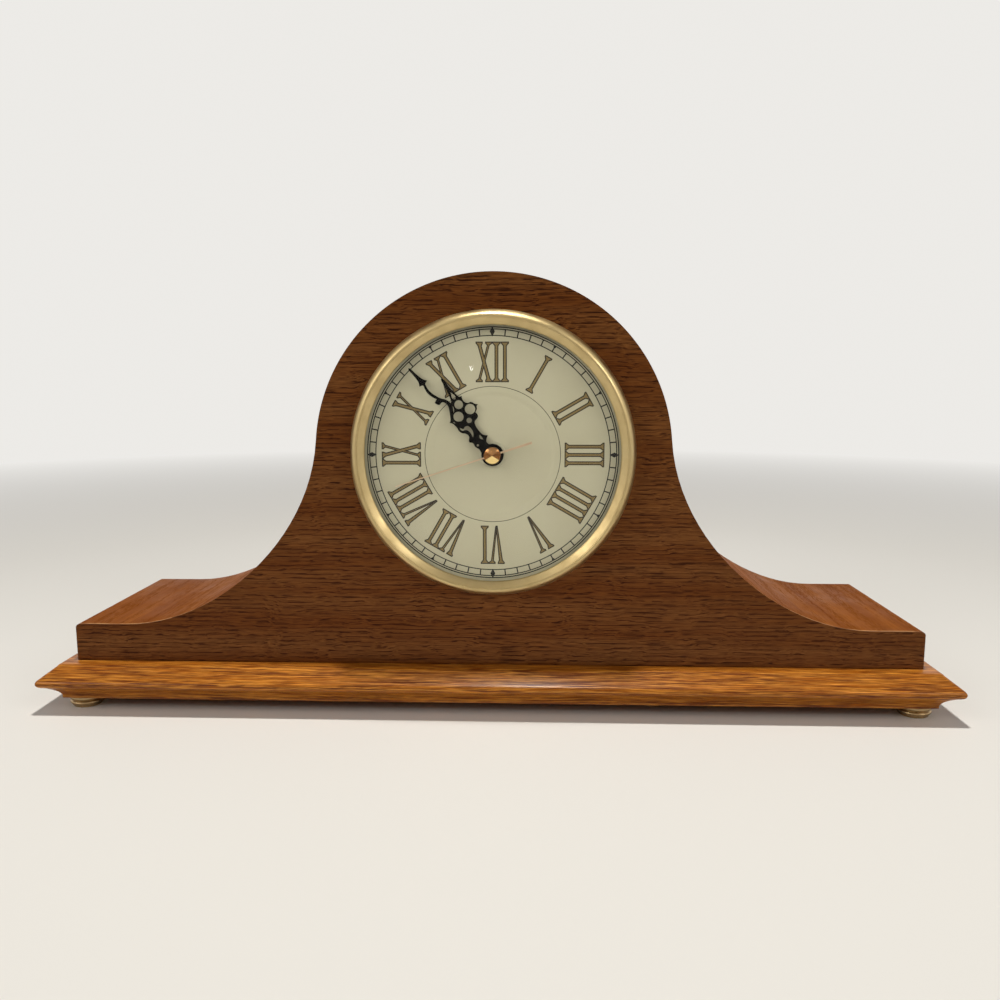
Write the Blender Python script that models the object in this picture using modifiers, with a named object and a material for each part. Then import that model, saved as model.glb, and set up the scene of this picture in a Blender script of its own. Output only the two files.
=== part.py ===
"""A tambour mantel clock, 462 mm wide, with its case, dial and quartz chime movement.

The clock faces -Y and stands on z = 0, with the middle of its footprint at the origin.
Lengths are in metres. The dial and the movement are built in a frame of their own,
whose x runs to the right, y up, and z from the face of the case towards the viewer.
"""

import math

import bmesh
import bpy
from mathutils import Matrix, Vector
from mathutils.geometry import interpolate_bezier

# Case
CASE_WIDTH = 0.431
CASE_DEPTH = 0.1
WING_HEIGHT = 0.0193
ARCH_RADIUS = 0.0878
ARCH_CENTRE_HEIGHT = 0.1073
ARCH_LEAN = math.radians(4.6)
WING_FLAT = 0.0265
TOE_HANDLE = 0.0464
SHOULDER_HANDLE = 0.0513
END_ROUNDING = 0.002
VENEER_THICKNESS = 0.0006
PANEL_THICKNESS = 0.009
HOOD_THICKNESS = 0.0032
END_THICKNESS = 0.012
BACK_THICKNESS = 0.004
BACK_RECESS = 0.008
BLOCK_WIDTH = 0.02
BLOCK_HEIGHT = 0.02
BLOCK_X = 0.12

# Base board, whose overhangs are measured from the faces of the case
BASE_THICKNESS = 0.018
NOSE_OVERHANG = 0.0153
NOSE_HEIGHT = 0.0095
NOSE_RADIUS = 0.0017
LEDGE_OVERHANG = 0.0055
SHOULDER_RADIUS = 0.0026
UNDERSIDE_OVERHANG = 0.0065
UNDERSIDE_EDGE = 0.0012

# Feet and case screws
FOOT_HEIGHT = 0.006
FOOT_RADIUS = 0.0085
FOOT_INSET = 0.0025
FOOT_STEM_RADIUS = 0.0016
FOOT_STEM_LENGTH = 0.01
SCREW_RADIUS = 0.0018
SCREW_HEAD_RADIUS = 0.004
SCREW_LENGTH = 0.033
SCREW_Y = 0.025

# Back door
DOOR_SIDE_MARGIN = 0.0244
DOOR_HEIGHT = 0.112
DOOR_BOTTOM = 0.038
DOOR_CORNER = 0.006
DOOR_CLEARANCE = 0.001
SLOT_COUNT = 5
SLOT_LENGTH = 0.046
SLOT_WIDTH = 0.003
SLOT_SPACING = 0.0085
HINGE_LENGTH = 0.024
HINGE_WING = 0.012
HINGE_LEAF = 0.0008
HINGE_INSET = 0.024
PIN_RADIUS = 0.0007
KNUCKLE_WALL = 0.0006
PIN_HEAD = 0.0014
KNOB_RADIUS = 0.005
KNOB_LENGTH = 0.0068
KNOB_EDGE = 0.01
MAGNET_SIZE = (0.018, 0.0071, 0.014)
STRIKE_THICKNESS = 0.0005
STRIKE_SIZE = (0.008, 0.016)

# Dial
DIAL_RADIUS = 0.0648
DIAL_THICKNESS = 0.0006
BEZEL_WIDTH = 0.0047
BEZEL_SHEET = 0.0011
LIP_OVERLAP = 0.0025
CREST_RISE = 0.0028
GLASS_RISE = 0.0095
GLASS_THICKNESS = 0.0015
HAND_CLEARANCE = 0.00055
NUT_WIDTH = 0.0015
NUT_THICKNESS = 0.0012
MINUTE_TIP_MARGIN = 0.0066
HOUR_HAND_LENGTH = 0.0444
SECOND_HAND_LENGTH = 0.05
SECOND_TAIL_LENGTH = 0.02
SECOND_TAIL_WIDTH = 0.0018
SECOND_TIP_WIDTH = 0.0004
SECOND_HUB_RADIUS = 0.0026
BLADE_THICKNESS = 0.0003
SECOND_BLADE_THICKNESS = 0.0002
COLLET_HEIGHT = 0.0007
COLLET_WALL = 0.0011
CAP_RADIUS = 0.0041
CAP_HEIGHT = 0.0023
REST_HOURS = 10 + 52.7 / 60
REST_SECONDS = 42

# Movement
MOVEMENT_WIDTH = 0.088
FRONT_CASE_DEPTH = 0.0158
WALL = 0.0016
WASHER_THICKNESS = 0.001
WASHER_WIDTH = 0.005
SECONDS_ARBOR_RADIUS = 0.0007
MINUTE_PIPE_WALL = 0.00095
HOUR_PIPE_WALL = 0.00075
BUSH_WALL = 0.001
ARBOR_RADIUS = 0.0006
PLANE_PITCH = 0.002
PLANE_START = 0.0005
HEAVY_WHEEL = 0.0012
LIGHT_WHEEL = 0.0008
PINION_MARGIN = 0.0002
PLATE_THICKNESS = 0.001
PLATE_MARGIN = 0.0035
POST_RADII = (0.003, 0.0024, 0.0016)
ROTOR_POST_CLEARANCE = 0.0031
STATOR_POST_CLEARANCE = 0.0009
THIRD_POST_CLEARANCE = 0.0005
ADDENDUM = 0.75
DEDENDUM = 1.05
WHEEL_TOOTH_SHARE = 0.29
LEAF_ROOT_SHARE = 0.22
LEAF_TIP_SHARE = 0.09
MOTION_MODULE = 0.0005
CENTRE_MODULE = 0.00045
SECONDS_MODULE = 0.00053
ROTOR_MODULE = 0.00045
CANNON_TEETH = 10
MOTION_TEETH = 30
MOTION_PINION_TEETH = 8
HOUR_TEETH = 32
SETTING_TEETH = 20
CENTRE_TEETH = 48
THIRD_TEETH = 45
SECONDS_TEETH = 30
INTERMEDIATE_TEETH = 36
PINION_TEETH = 6
THIRD_ANGLE = math.radians(20)
INTERMEDIATE_ANGLE = math.radians(160)
ROTOR_ANGLE = math.radians(180)
MOTION_ANGLE = math.radians(-90)
STUD_RADIUS = 0.0009
ROTOR_RADIUS = 0.003
ROTOR_LENGTH = 0.003
ROTOR_AIR_GAP = 0.0008
STATOR_THICKNESS = 0.0008
STATOR_EDGE = 0.0007
STATOR_SIDE = 0.0021
STATOR_BRIDGE = 0.0017
STATOR_POST_INSET = 0.0015
CORE_WIDTH = 0.0022
COIL_LENGTH = 0.014
COIL_RADIUS = 0.004
COIL_END_MARGIN = 0.00145
BOARD_HEIGHT = 0.018
BOARD_THICKNESS = 0.0012
BOARD_DEPTH = 0.0208
BOARD_END_MARGIN = 0.0014
BOARD_TOP_MARGIN = 0.0004
BOARD_COIL_MARGIN = 0.0007
BOARD_SPEAKER_MARGIN = 0.002
BOARD_POST_INSET = (0.004, 0.0038)
CHIP_RADIUS = 0.004
CHIP_HEIGHT = 0.0012
CHIP_PLACE = (0.029, 0.008)
CRYSTAL_SIZE = (0.008, 0.0027, 0.002)
CRYSTAL_PLACE = (0.014, 0.0045)
SPEAKER_Y = 0.012
SPEAKER_RADIUS = 0.017
SPEAKER_DEPTH = 0.0063
SPEAKER_SIDE_MARGIN = 0.0034
SPEAKER_FRONT_MARGIN = 0.0007
GRILLE_SLOTS = 5
GRILLE_SPACING = 0.005
BATTERY_RADIUS = 0.0072
BATTERY_LENGTH = 0.0492
BATTERY_NUB_RADIUS = 0.0027
BATTERY_NUB_LENGTH = 0.001
BATTERY_SHAFT_MARGIN = 0.0039
CONTACT_THICKNESS = 0.0004
CONTACT_SIZE = 0.01
SPRING_BOW = 0.002
SLIDER_TRAVEL = 0.006
SLIDER_SIZE = (0.0044, 0.003)
SLIDER_PLACE = (0.008, 0.0055)
SLIDER_SPACING = 0.008
SLIDER_HEIGHT = 0.0018
SETTING_SHAFT_RADIUS = 0.0015
SETTING_KNOB_RADIUS = 0.0065
SETTING_KNOB_LENGTH = 0.0065

# Shading and welding
SHARP_ANGLE = math.radians(35)
WELD_DISTANCE = 0.000001
POINT_ANGLE = math.radians(78)

# Clearances
GAP = 0.0002
RUNNING_GAP = 0.0003
WALL_CLEARANCE = 0.0005

# Places that follow from the sizes
CASE_BOTTOM = FOOT_HEIGHT + BASE_THICKNESS
FACE_Y = -CASE_DEPTH / 2
REAR_Y = CASE_DEPTH / 2
WING_Z = CASE_BOTTOM + WING_HEIGHT
DIAL_Z = CASE_BOTTOM + ARCH_CENTRE_HEIGHT
PANEL_REAR = VENEER_THICKNESS + GAP + PANEL_THICKNESS
MOVEMENT_FRONT = -(PANEL_REAR + GAP + WASHER_THICKNESS + GAP)
MOVEMENT_SEAM = MOVEMENT_FRONT - FRONT_CASE_DEPTH
INNER_FRONT = MOVEMENT_FRONT - WALL
BACK_REAR_Y = REAR_Y - BACK_RECESS
BACK_FRONT_Y = BACK_REAR_Y - BACK_THICKNESS
KNUCKLE_BORE = PIN_RADIUS + GAP
KNUCKLE_RADIUS = KNUCKLE_BORE + KNUCKLE_WALL
MINUTE_PIPE_BORE = SECONDS_ARBOR_RADIUS + GAP
MINUTE_PIPE_RADIUS = MINUTE_PIPE_BORE + MINUTE_PIPE_WALL
HOUR_PIPE_BORE = MINUTE_PIPE_RADIUS + GAP
HOUR_PIPE_RADIUS = HOUR_PIPE_BORE + HOUR_PIPE_WALL
BUSH_BORE = HOUR_PIPE_RADIUS + GAP
BUSH_RADIUS = BUSH_BORE + BUSH_WALL


def srgb(red, green, blue):
    """A colour given in 8-bit steps, as linear values."""
    return tuple((channel / 255) ** 2.2 for channel in (red, green, blue))


def finish(name, colour, roughness, metallic=0.0, transmission=0.0):
    """A plain material of one colour."""
    material = bpy.data.materials.new(name)
    material.use_nodes = True
    shader = material.node_tree.nodes["Principled BSDF"]
    shader.inputs["Base Color"].default_value = (*colour, 1)
    shader.inputs["Roughness"].default_value = roughness
    shader.inputs["Metallic"].default_value = metallic
    shader.inputs["Transmission Weight"].default_value = transmission
    material.diffuse_color = (*colour, 1)
    return material


def add(name, data, material=None):
    """An object in the clock's collection, or in the tools' where it has no material."""
    obj = bpy.data.objects.new(name, data)
    if material:
        data.materials.append(material)
        clock.objects.link(obj)
    else:
        obj.hide_render = True
        obj.display_type = "WIRE"
        tools.objects.link(obj)
    return obj


def from_bmesh(name, bm, material=None):
    mesh = bpy.data.meshes.new(name)
    bm.to_mesh(mesh)
    bm.free()
    return add(name, mesh, material)


def settle(name, guide, material):
    """The guide's evaluated shape as a welded object, smooth but for its sharp edges."""
    graph = bpy.context.evaluated_depsgraph_get()
    mesh = bpy.data.meshes.new_from_object(guide.evaluated_get(graph))
    bpy.data.objects.remove(guide)
    bm = bmesh.new()
    bm.from_mesh(mesh)
    bmesh.ops.remove_doubles(bm, verts=bm.verts, dist=WELD_DISTANCE)
    obj = from_bmesh(name, bm, material)
    obj.data.shade_smooth()
    obj.data.set_sharp_from_angle(angle=SHARP_ANGLE)
    return obj


def box(name, low, high, material=None):
    size = [b - a for a, b in zip(low, high)]
    middle = [(a + b) / 2 for a, b in zip(low, high)]
    bm = bmesh.new()
    shape = Matrix.Translation(middle) @ Matrix.Diagonal((*size, 1))
    bmesh.ops.create_cube(bm, size=1, matrix=shape)
    return from_bmesh(name, bm, material)


def turned(name, profile, material=None, steps=24, closed=False):
    """A profile of (radius, height) points turned round Z.

    It runs down the outside, from the top to the bottom, and a closed one comes back
    up inside.
    """
    ends = range(len(profile) - (not closed))
    edges = [(i, (i + 1) % len(profile)) for i in ends]
    mesh = bpy.data.meshes.new(name)
    mesh.from_pydata([(radius, 0, height) for radius, height in profile], edges, [])
    guide = add(name, mesh)
    screw = guide.modifiers.new("turn", "SCREW")
    screw.steps = steps
    screw.render_steps = steps
    screw.use_merge_vertices = True
    screw.merge_threshold = WELD_DISTANCE
    return settle(name, guide, material)


def rod(name, radius, low, high, material=None, steps=12):
    """A cylinder round Z, from low to high."""
    profile = [(0, high), (radius, high), (radius, low), (0, low)]
    return turned(name, profile, material, steps)


def pipe(name, radius, bore, low, high, material=None, steps=16):
    profile = [(radius, high), (radius, low), (bore, low), (bore, high)]
    return turned(name, profile, material, steps, closed=True)


def flat(name, outlines, low, high, material=None, smooth=False):
    """A plate between two heights. Its first outline is its edge and the rest are holes.

    A smooth outline is rounded at each of its points but the sharp ones.
    """
    curve = bpy.data.curves.new(name, "CURVE")
    curve.dimensions = "2D"
    curve.fill_mode = "BOTH"
    curve.extrude = (high - low) / 2
    curve.resolution_u = 2
    for outline in outlines:
        spline = curve.splines.new("BEZIER" if smooth else "POLY")
        knots = spline.bezier_points if smooth else spline.points
        knots.add(len(outline) - 1)
        corners = [Vector(point) for point in outline]
        for number, (knot, corner) in enumerate(zip(knots, corners)):
            knot.co = (*corner, 0) if smooth else (*corner, 0, 1)
            if smooth:
                towards = corner - corners[number - 1]
                away = corners[(number + 1) % len(corners)] - corner
                handle = "VECTOR" if towards.angle(away) > POINT_ANGLE else "AUTO"
                knot.handle_left_type = handle
                knot.handle_right_type = handle
        spline.use_cyclic_u = True
    plate = settle(name, add(name, curve), material)
    plate.data.transform(Matrix.Translation((0, 0, (low + high) / 2)))
    return plate


def boolean(obj, tool, operation):
    tool.parent = obj
    modifier = obj.modifiers.new(tool.name, "BOOLEAN")
    modifier.operation = operation
    modifier.object = tool


def cut(obj, *cutters):
    """Cuts tools, which are given in the object's own frame, out of it."""
    for cutter in cutters:
        boolean(obj, cutter, "DIFFERENCE")


def join(obj, *additions):
    """Joins tools, which are given in the object's own frame, to it."""
    for addition in additions:
        boolean(obj, addition, "UNION")


def circle(radius, centre=(0, 0), sides=16):
    steps = [math.tau * side / sides for side in range(sides)]
    return [(centre[0] + radius * math.cos(a), centre[1] + radius * math.sin(a)) for a in steps]


def arc(centre, radius, start, end, count):
    """Points on an arc, with both ends, for angles in degrees."""
    turns = [math.radians(start + (end - start) * i / (count - 1)) for i in range(count)]
    return [(centre[0] + radius * math.cos(a), centre[1] + radius * math.sin(a)) for a in turns]


def rounded(low, high, radius, count=4):
    """A rectangle with rounded corners."""
    left, bottom = low[0] + radius, low[1] + radius
    right, top = high[0] - radius, high[1] - radius
    return (
        arc((right, top), radius, 0, 90, count)
        + arc((left, top), radius, 90, 180, count)
        + arc((left, bottom), radius, 180, 270, count)
        + arc((right, bottom), radius, 270, 360, count)
    )


def upright(obj, y):
    """Stands a plate up, so that it faces the viewer and its z = 0 lies at depth y."""
    obj.rotation_euler = (math.pi / 2, 0, 0)
    obj.location = (0, y, 0)
    return obj


for leftover in list(bpy.data.objects):
    bpy.data.objects.remove(leftover)
clock = bpy.data.collections.new("tambour_mantel_clock")
tools = bpy.data.collections.new("tools")
bpy.context.scene.collection.children.link(clock)
bpy.context.scene.collection.children.link(tools)

dark_veneer = finish("dark_veneer", srgb(92, 48, 24), 0.45)
lacquered_wood = finish("lacquered_wood", srgb(165, 97, 42), 0.25)
brown_veneer = finish("brown_veneer", srgb(138, 84, 48), 0.4)
board = finish("board", srgb(150, 118, 82), 0.7)
hardboard = finish("hardboard", srgb(104, 70, 44), 0.65)
brass = finish("brass", srgb(214, 178, 106), 0.25, 1.0)
steel = finish("steel", srgb(170, 170, 172), 0.35, 1.0)
glass = finish("glass", srgb(245, 248, 246), 0.03, 0.0, 1.0)
dial_cream = finish("dial_cream", srgb(214, 212, 184), 0.5)
black_paint = finish("black_paint", srgb(22, 20, 19), 0.35)
rose_gold = finish("rose_gold", srgb(196, 150, 120), 0.3, 1.0)
black_plastic = finish("black_plastic", srgb(28, 28, 30), 0.5)
white_plastic = finish("white_plastic", srgb(226, 224, 216), 0.4)
green_board = finish("green_board", srgb(32, 92, 58), 0.45)
copper = finish("copper", srgb(184, 110, 60), 0.35, 1.0)
rubber = finish("rubber", srgb(40, 40, 42), 0.8)
battery_sleeve = finish("battery_sleeve", srgb(52, 56, 62), 0.35)


# The moulded base board: a flat ledge, a rounded shoulder, a long bevel down to a
# rounded nose, and an undercut back to the underside, the same on all four sides.
def moulding():
    """(overhang, height) points of the board's section, from its underside up."""
    nose = (NOSE_OVERHANG - NOSE_RADIUS, NOSE_HEIGHT)
    nose_arc = arc(nose, NOSE_RADIUS, -75, 55, 6)
    shoulder = (LEDGE_OVERHANG, BASE_THICKNESS - SHOULDER_RADIUS)
    shoulder_arc = arc(shoulder, SHOULDER_RADIUS, 35, 90, 4)
    edge = Vector((UNDERSIDE_OVERHANG, UNDERSIDE_EDGE))
    tip = Vector(nose_arc[0])
    up = Vector((0, (tip.y - edge.y) / 2))
    out = Vector(((tip.x - edge.x) / 2, 0))
    cove = interpolate_bezier(edge, edge + up, tip - out, tip, 5)[:-1]
    return [(UNDERSIDE_OVERHANG, 0)] + [tuple(p) for p in cove] + nose_arc + shoulder_arc


def moulded_board(name, half_x, half_y, bottom, section, material):
    """A board whose edge follows the section all round, made by drawing its top face up."""
    def ring_place(vertex, overhang, height):
        vertex.co.x = math.copysign(half_x + overhang, vertex.co.x)
        vertex.co.y = math.copysign(half_y + overhang, vertex.co.y)
        vertex.co.z = bottom + height

    bm = bmesh.new()
    bmesh.ops.create_cube(bm, size=1)
    top = max(bm.faces, key=lambda face: face.calc_center_median().z)
    low = min(bm.faces, key=lambda face: face.calc_center_median().z)
    for face, point in ((low, section[0]), (top, section[1])):
        for vertex in face.verts:
            ring_place(vertex, *point)
    for point in section[2:]:
        drawn = bmesh.ops.extrude_face_region(bm, geom=[top])["geom"]
        bmesh.ops.delete(bm, geom=[top], context="FACES_ONLY")
        top = next(item for item in drawn if isinstance(item, bmesh.types.BMFace))
        for vertex in top.verts:
            ring_place(vertex, *point)
    return from_bmesh(name, bm, material)


def wood_screw(name, margin=0.0, material=None):
    """A countersunk screw that points up from z = 0, or the hole that leaves it a margin."""
    radius = SCREW_RADIUS + margin
    head = SCREW_HEAD_RADIUS + margin
    profile = [
        (0, SCREW_LENGTH + margin),
        (radius, SCREW_LENGTH + margin - 2 * radius),
        (radius, SCREW_HEAD_RADIUS - SCREW_RADIUS),
        (head, 0),
        (0, 0),
    ]
    if margin:
        profile[-1:] = [(head, -2 * margin), (0, -2 * margin)]
    return turned(name, profile, material, steps=12)


base_board = moulded_board(
    "base_board", CASE_WIDTH / 2, CASE_DEPTH / 2, FOOT_HEIGHT, moulding(), lacquered_wood
)

# Four turned brass feet, each with its own screw stem in the board above.
foot_x = CASE_WIDTH / 2 - FOOT_INSET
foot_y = CASE_DEPTH / 2 - FOOT_INSET
foot_top = FOOT_HEIGHT - GAP
FOOT_PROFILE = [
    (0, foot_top + FOOT_STEM_LENGTH),
    (FOOT_STEM_RADIUS, foot_top + FOOT_STEM_LENGTH - FOOT_STEM_RADIUS),
    (FOOT_STEM_RADIUS, foot_top),
    (FOOT_RADIUS * 0.92, foot_top),
    (FOOT_RADIUS, foot_top * 0.9),
    (FOOT_RADIUS, foot_top * 0.72),
    (FOOT_RADIUS * 0.89, foot_top * 0.62),
    (FOOT_RADIUS * 0.98, foot_top * 0.5),
    (FOOT_RADIUS * 0.98, foot_top * 0.36),
    (FOOT_RADIUS * 0.85, foot_top * 0.24),
    (FOOT_RADIUS * 0.85, 0),
    (0, 0),
]
for side, x in (("left", -foot_x), ("right", foot_x)):
    for end, y in (("front", -foot_y), ("back", foot_y)):
        foot = turned(f"foot_{end}_{side}", FOOT_PROFILE, brass, steps=20)
        foot.location = (x, y, 0)
        hole_top = foot_top + FOOT_STEM_LENGTH + RUNNING_GAP
        hole = rod(f"hole_{end}_{side}", FOOT_STEM_RADIUS + RUNNING_GAP, 0, hole_top)
        hole.location = (x, y, 0)
        cut(base_board, hole)

# Two glue blocks inside the wings, which four screws through the base pull down.
block_front = FACE_Y + PANEL_REAR + GAP
block_rear = BACK_FRONT_Y - GAP
for side, sign in (("left", -1), ("right", 1)):
    block = box(
        f"glue_block_{side}",
        (sign * BLOCK_X - BLOCK_WIDTH / 2, block_front, CASE_BOTTOM + GAP),
        (sign * BLOCK_X + BLOCK_WIDTH / 2, block_rear, CASE_BOTTOM + GAP + BLOCK_HEIGHT),
        board,
    )
    for end, y in ((1, -SCREW_Y), (2, SCREW_Y)):
        number = end + (sign + 1)
        screw = wood_screw(f"case_screw_{number}", material=steel)
        screw.location = (sign * BLOCK_X, y, FOOT_HEIGHT + GAP)
        for held in (base_board, block):
            hole = wood_screw(f"hole_{held.name}_{number}", margin=RUNNING_GAP)
            hole.location = screw.location
            cut(held, hole)


case_half = CASE_WIDTH / 2


# The tambour line: flat wings, one long swoop on each side, and the round crown.
def top_line(inset, half_width, rounding=0.0):
    """(x, z) points from the right end of the case to the left, moved in by inset."""
    crown = (0, DIAL_Z)
    toe = Vector((case_half - WING_FLAT, WING_Z))
    lean = Vector((math.cos(ARCH_LEAN), math.sin(ARCH_LEAN)))
    shoulder = Vector(crown) + ARCH_RADIUS * lean
    falling = Vector((lean.y, -lean.x))
    swoop = interpolate_bezier(
        toe, toe - Vector((TOE_HANDLE, 0)), shoulder + SHOULDER_HANDLE * falling, shoulder, 16
    )
    arch = arc(crown, ARCH_RADIUS, math.degrees(ARCH_LEAN), 90, 13)[1:]
    half = [tuple(p) for p in swoop] + arch
    line = [(half_width, WING_Z)] + half + [(-x, z) for x, z in half[-2::-1]]
    line.append((-half_width, WING_Z))
    moved = [(half_width, WING_Z - inset)]
    for before, point, after in zip(line, line[1:], line[2:]):
        along = (Vector(after) - Vector(before)).normalized()
        moved.append((point[0] - inset * along.y, point[1] + inset * along.x))
    moved.append((-half_width, WING_Z - inset))
    if rounding:
        right = arc((half_width - rounding, WING_Z - rounding), rounding, 0, 90, 4)
        left = [(-x, z) for x, z in reversed(right)]
        moved = right + moved[1:-1] + left
    return moved


def case_outline(inset, half_width, rounding=0.0):
    """The tambour line closed along the bottom of the case."""
    floor = CASE_BOTTOM + GAP
    return top_line(inset, half_width, rounding) + [(-half_width, floor), (half_width, floor)]


under_hood = HOOD_THICKNESS + GAP
bush_hole = circle(BUSH_RADIUS + RUNNING_GAP, (0, DIAL_Z))

front_veneer = flat(
    "front_veneer",
    [case_outline(0, case_half, END_ROUNDING), bush_hole],
    -VENEER_THICKNESS,
    0,
    dark_veneer,
)
upright(front_veneer, FACE_Y)

front_panel = flat(
    "front_panel", [case_outline(under_hood, case_half), bush_hole], -PANEL_THICKNESS, 0, board
)
upright(front_panel, FACE_Y + VENEER_THICKNESS + GAP)

# The bent plywood hood, from the veneer to the rear edge of the case.
hood_section = top_line(0, case_half, END_ROUNDING) + top_line(HOOD_THICKNESS, case_half)[::-1]
hood_front = FACE_Y + VENEER_THICKNESS + GAP
bent_top = flat("bent_top", [hood_section], -(REAR_Y - hood_front), 0, brown_veneer)
upright(bent_top, hood_front)

for side, sign in (("left", -1), ("right", 1)):
    inner, outer = sorted((sign * (case_half - END_THICKNESS), sign * case_half))
    box(
        f"end_block_{side}",
        (inner, block_front, CASE_BOTTOM + GAP),
        (outer, REAR_Y, WING_Z - under_hood),
        brown_veneer,
    )

# The recessed back panel, its inset door, and what carries and holds the door.
door_half_width = ARCH_RADIUS - under_hood - DOOR_SIDE_MARGIN
door_low = (-door_half_width, CASE_BOTTOM + DOOR_BOTTOM)
door_high = (door_half_width, CASE_BOTTOM + DOOR_BOTTOM + DOOR_HEIGHT)
opening_low = (door_low[0] - DOOR_CLEARANCE, door_low[1] - DOOR_CLEARANCE)
opening_high = (door_high[0] + DOOR_CLEARANCE, door_high[1] + DOOR_CLEARANCE)
door_middle_z = (door_low[1] + door_high[1]) / 2
hinge_x = door_high[0] + DOOR_CLEARANCE / 2
knob_x = door_low[0] + KNOB_EDGE

back_half = case_half - END_THICKNESS - GAP
back_opening = rounded(opening_low, opening_high, DOOR_CORNER + DOOR_CLEARANCE)
back_panel = flat(
    "back_panel",
    [case_outline(under_hood, back_half), back_opening],
    -BACK_THICKNESS,
    0,
    hardboard,
)
upright(back_panel, BACK_FRONT_Y)


def slots(count, centre, length, width, spacing):
    """Outlines of level slots, one above the other, round a centre."""
    rows = [centre[1] + spacing * (row - (count - 1) / 2) for row in range(count)]
    return [
        rounded(
            (centre[0] - length / 2, row - width / 2),
            (centre[0] + length / 2, row + width / 2),
            width * 0.4,
            2,
        )
        for row in rows
    ]


# The door's own origin lies on its hinge line.
door_frame = bpy.data.objects.new("door_frame", None)
tools.objects.link(door_frame)
hinge_y = BACK_REAR_Y + GAP + KNUCKLE_RADIUS
door_frame.location = (hinge_x, hinge_y, door_middle_z)


def on_door(obj, offset=(0, 0, 0)):
    """Hangs an object, built about the hinge line, on the door."""
    obj.parent = door_frame
    obj.location = offset
    return obj


door_half_height = DOOR_HEIGHT / 2
door_edges = (door_low[0] - hinge_x, door_high[0] - hinge_x)
knob_stem = KNOB_RADIUS * 0.3
speaker_slots = slots(
    SLOT_COUNT, ((door_edges[0] + door_edges[1]) / 2, 0), SLOT_LENGTH, SLOT_WIDTH, SLOT_SPACING
)
back_door = flat(
    "back_door",
    [
        rounded((door_edges[0], -door_half_height), (door_edges[1], door_half_height), DOOR_CORNER),
        circle(knob_stem + RUNNING_GAP, (knob_x - hinge_x, 0), 16),
        *speaker_slots,
    ],
    -BACK_THICKNESS,
    0,
    hardboard,
)
back_door.rotation_euler = (math.pi / 2, 0, 0)
on_door(back_door, (0, BACK_FRONT_Y - hinge_y, 0))

knob_profile = [
    (0, KNOB_LENGTH),
    (KNOB_RADIUS * 0.7, KNOB_LENGTH * 0.97),
    (KNOB_RADIUS * 0.96, KNOB_LENGTH * 0.82),
    (KNOB_RADIUS, KNOB_LENGTH * 0.62),
    (KNOB_RADIUS * 0.8, KNOB_LENGTH * 0.42),
    (KNOB_RADIUS * 0.5, KNOB_LENGTH * 0.24),
    (KNOB_RADIUS * 0.62, 0),
    (knob_stem, 0),
    (knob_stem, -BACK_THICKNESS - GAP),
    (0, -BACK_THICKNESS - GAP),
]
door_knob = turned("door_knob", knob_profile, brass, steps=20)
door_knob.rotation_euler = (-math.pi / 2, 0, 0)
on_door(door_knob, (knob_x - hinge_x, BACK_REAR_Y + GAP - hinge_y, 0))


def hinge_leaf(name, sign, knuckles):
    """A leaf on the side that sign gives, with a knuckle over each (low, high) height."""
    face = -KNUCKLE_RADIUS
    near = KNUCKLE_RADIUS + RUNNING_GAP
    inner, outer = sorted((sign * near, sign * HINGE_WING))
    half = HINGE_LENGTH / 2
    leaf = box(name, (inner, face, -half), (outer, face + HINGE_LEAF, half), brass)
    tongue_inner, tongue_outer = sorted((sign * KNUCKLE_BORE * 0.75, sign * 2 * near))
    for low, high in knuckles:
        knuckle = pipe(f"{name}_knuckle_{low:.4f}", KNUCKLE_RADIUS, KNUCKLE_BORE, low, high, steps=12)
        tongue = box(
            f"{name}_tongue_{low:.4f}",
            (tongue_inner, face, low),
            (tongue_outer, face + HINGE_LEAF, high),
        )
        join(leaf, tongue, knuckle)
    return leaf


third = HINGE_LENGTH / 6
hinge_offset = door_half_height - HINGE_INSET
for place, offset in (("upper", hinge_offset), ("lower", -hinge_offset)):
    end_knuckles = [(-HINGE_LENGTH / 2, -third - GAP), (third + GAP, HINGE_LENGTH / 2)]
    fixed_leaf = hinge_leaf(f"hinge_fixed_leaf_{place}", 1, end_knuckles)
    fixed_leaf.location = (hinge_x, hinge_y, door_middle_z + offset)
    door_leaf = hinge_leaf(f"hinge_door_leaf_{place}", -1, [(-third, third)])
    on_door(door_leaf, (0, 0, offset))
    half = HINGE_LENGTH / 2 + GAP
    pin_profile = [
        (0, half + PIN_RADIUS),
        (PIN_HEAD, half + PIN_RADIUS / 2),
        (PIN_HEAD, half),
        (PIN_RADIUS, half),
        (PIN_RADIUS, -half),
        (0, -half - PIN_RADIUS / 2),
    ]
    hinge_pin = turned(f"hinge_pin_{place}", pin_profile, brass, steps=12)
    hinge_pin.location = (hinge_x, hinge_y, door_middle_z + offset)

# A magnet inside the panel, and the steel plate that it holds on the door.
strike_y = BACK_FRONT_Y - GAP - hinge_y
strike = box(
    "strike_plate",
    (-STRIKE_SIZE[0] / 2, -STRIKE_THICKNESS, -STRIKE_SIZE[1] / 2),
    (STRIKE_SIZE[0] / 2, 0, STRIKE_SIZE[1] / 2),
    steel,
)
strike_x = door_edges[0] + STRIKE_SIZE[0] / 2 + DOOR_CLEARANCE
strike_z = -KNOB_RADIUS * 3
on_door(strike, (strike_x, strike_y, strike_z))
magnet_rear = BACK_FRONT_Y - 2 * GAP - STRIKE_THICKNESS
magnet_right = door_low[0] + STRIKE_SIZE[0]
magnet_left = magnet_right - MAGNET_SIZE[0]
magnet_half = MAGNET_SIZE[2] / 2
magnet = box(
    "catch_magnet",
    (magnet_left, magnet_rear - MAGNET_SIZE[1], -magnet_half),
    (magnet_right, magnet_rear, magnet_half),
    black_plastic,
)
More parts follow.
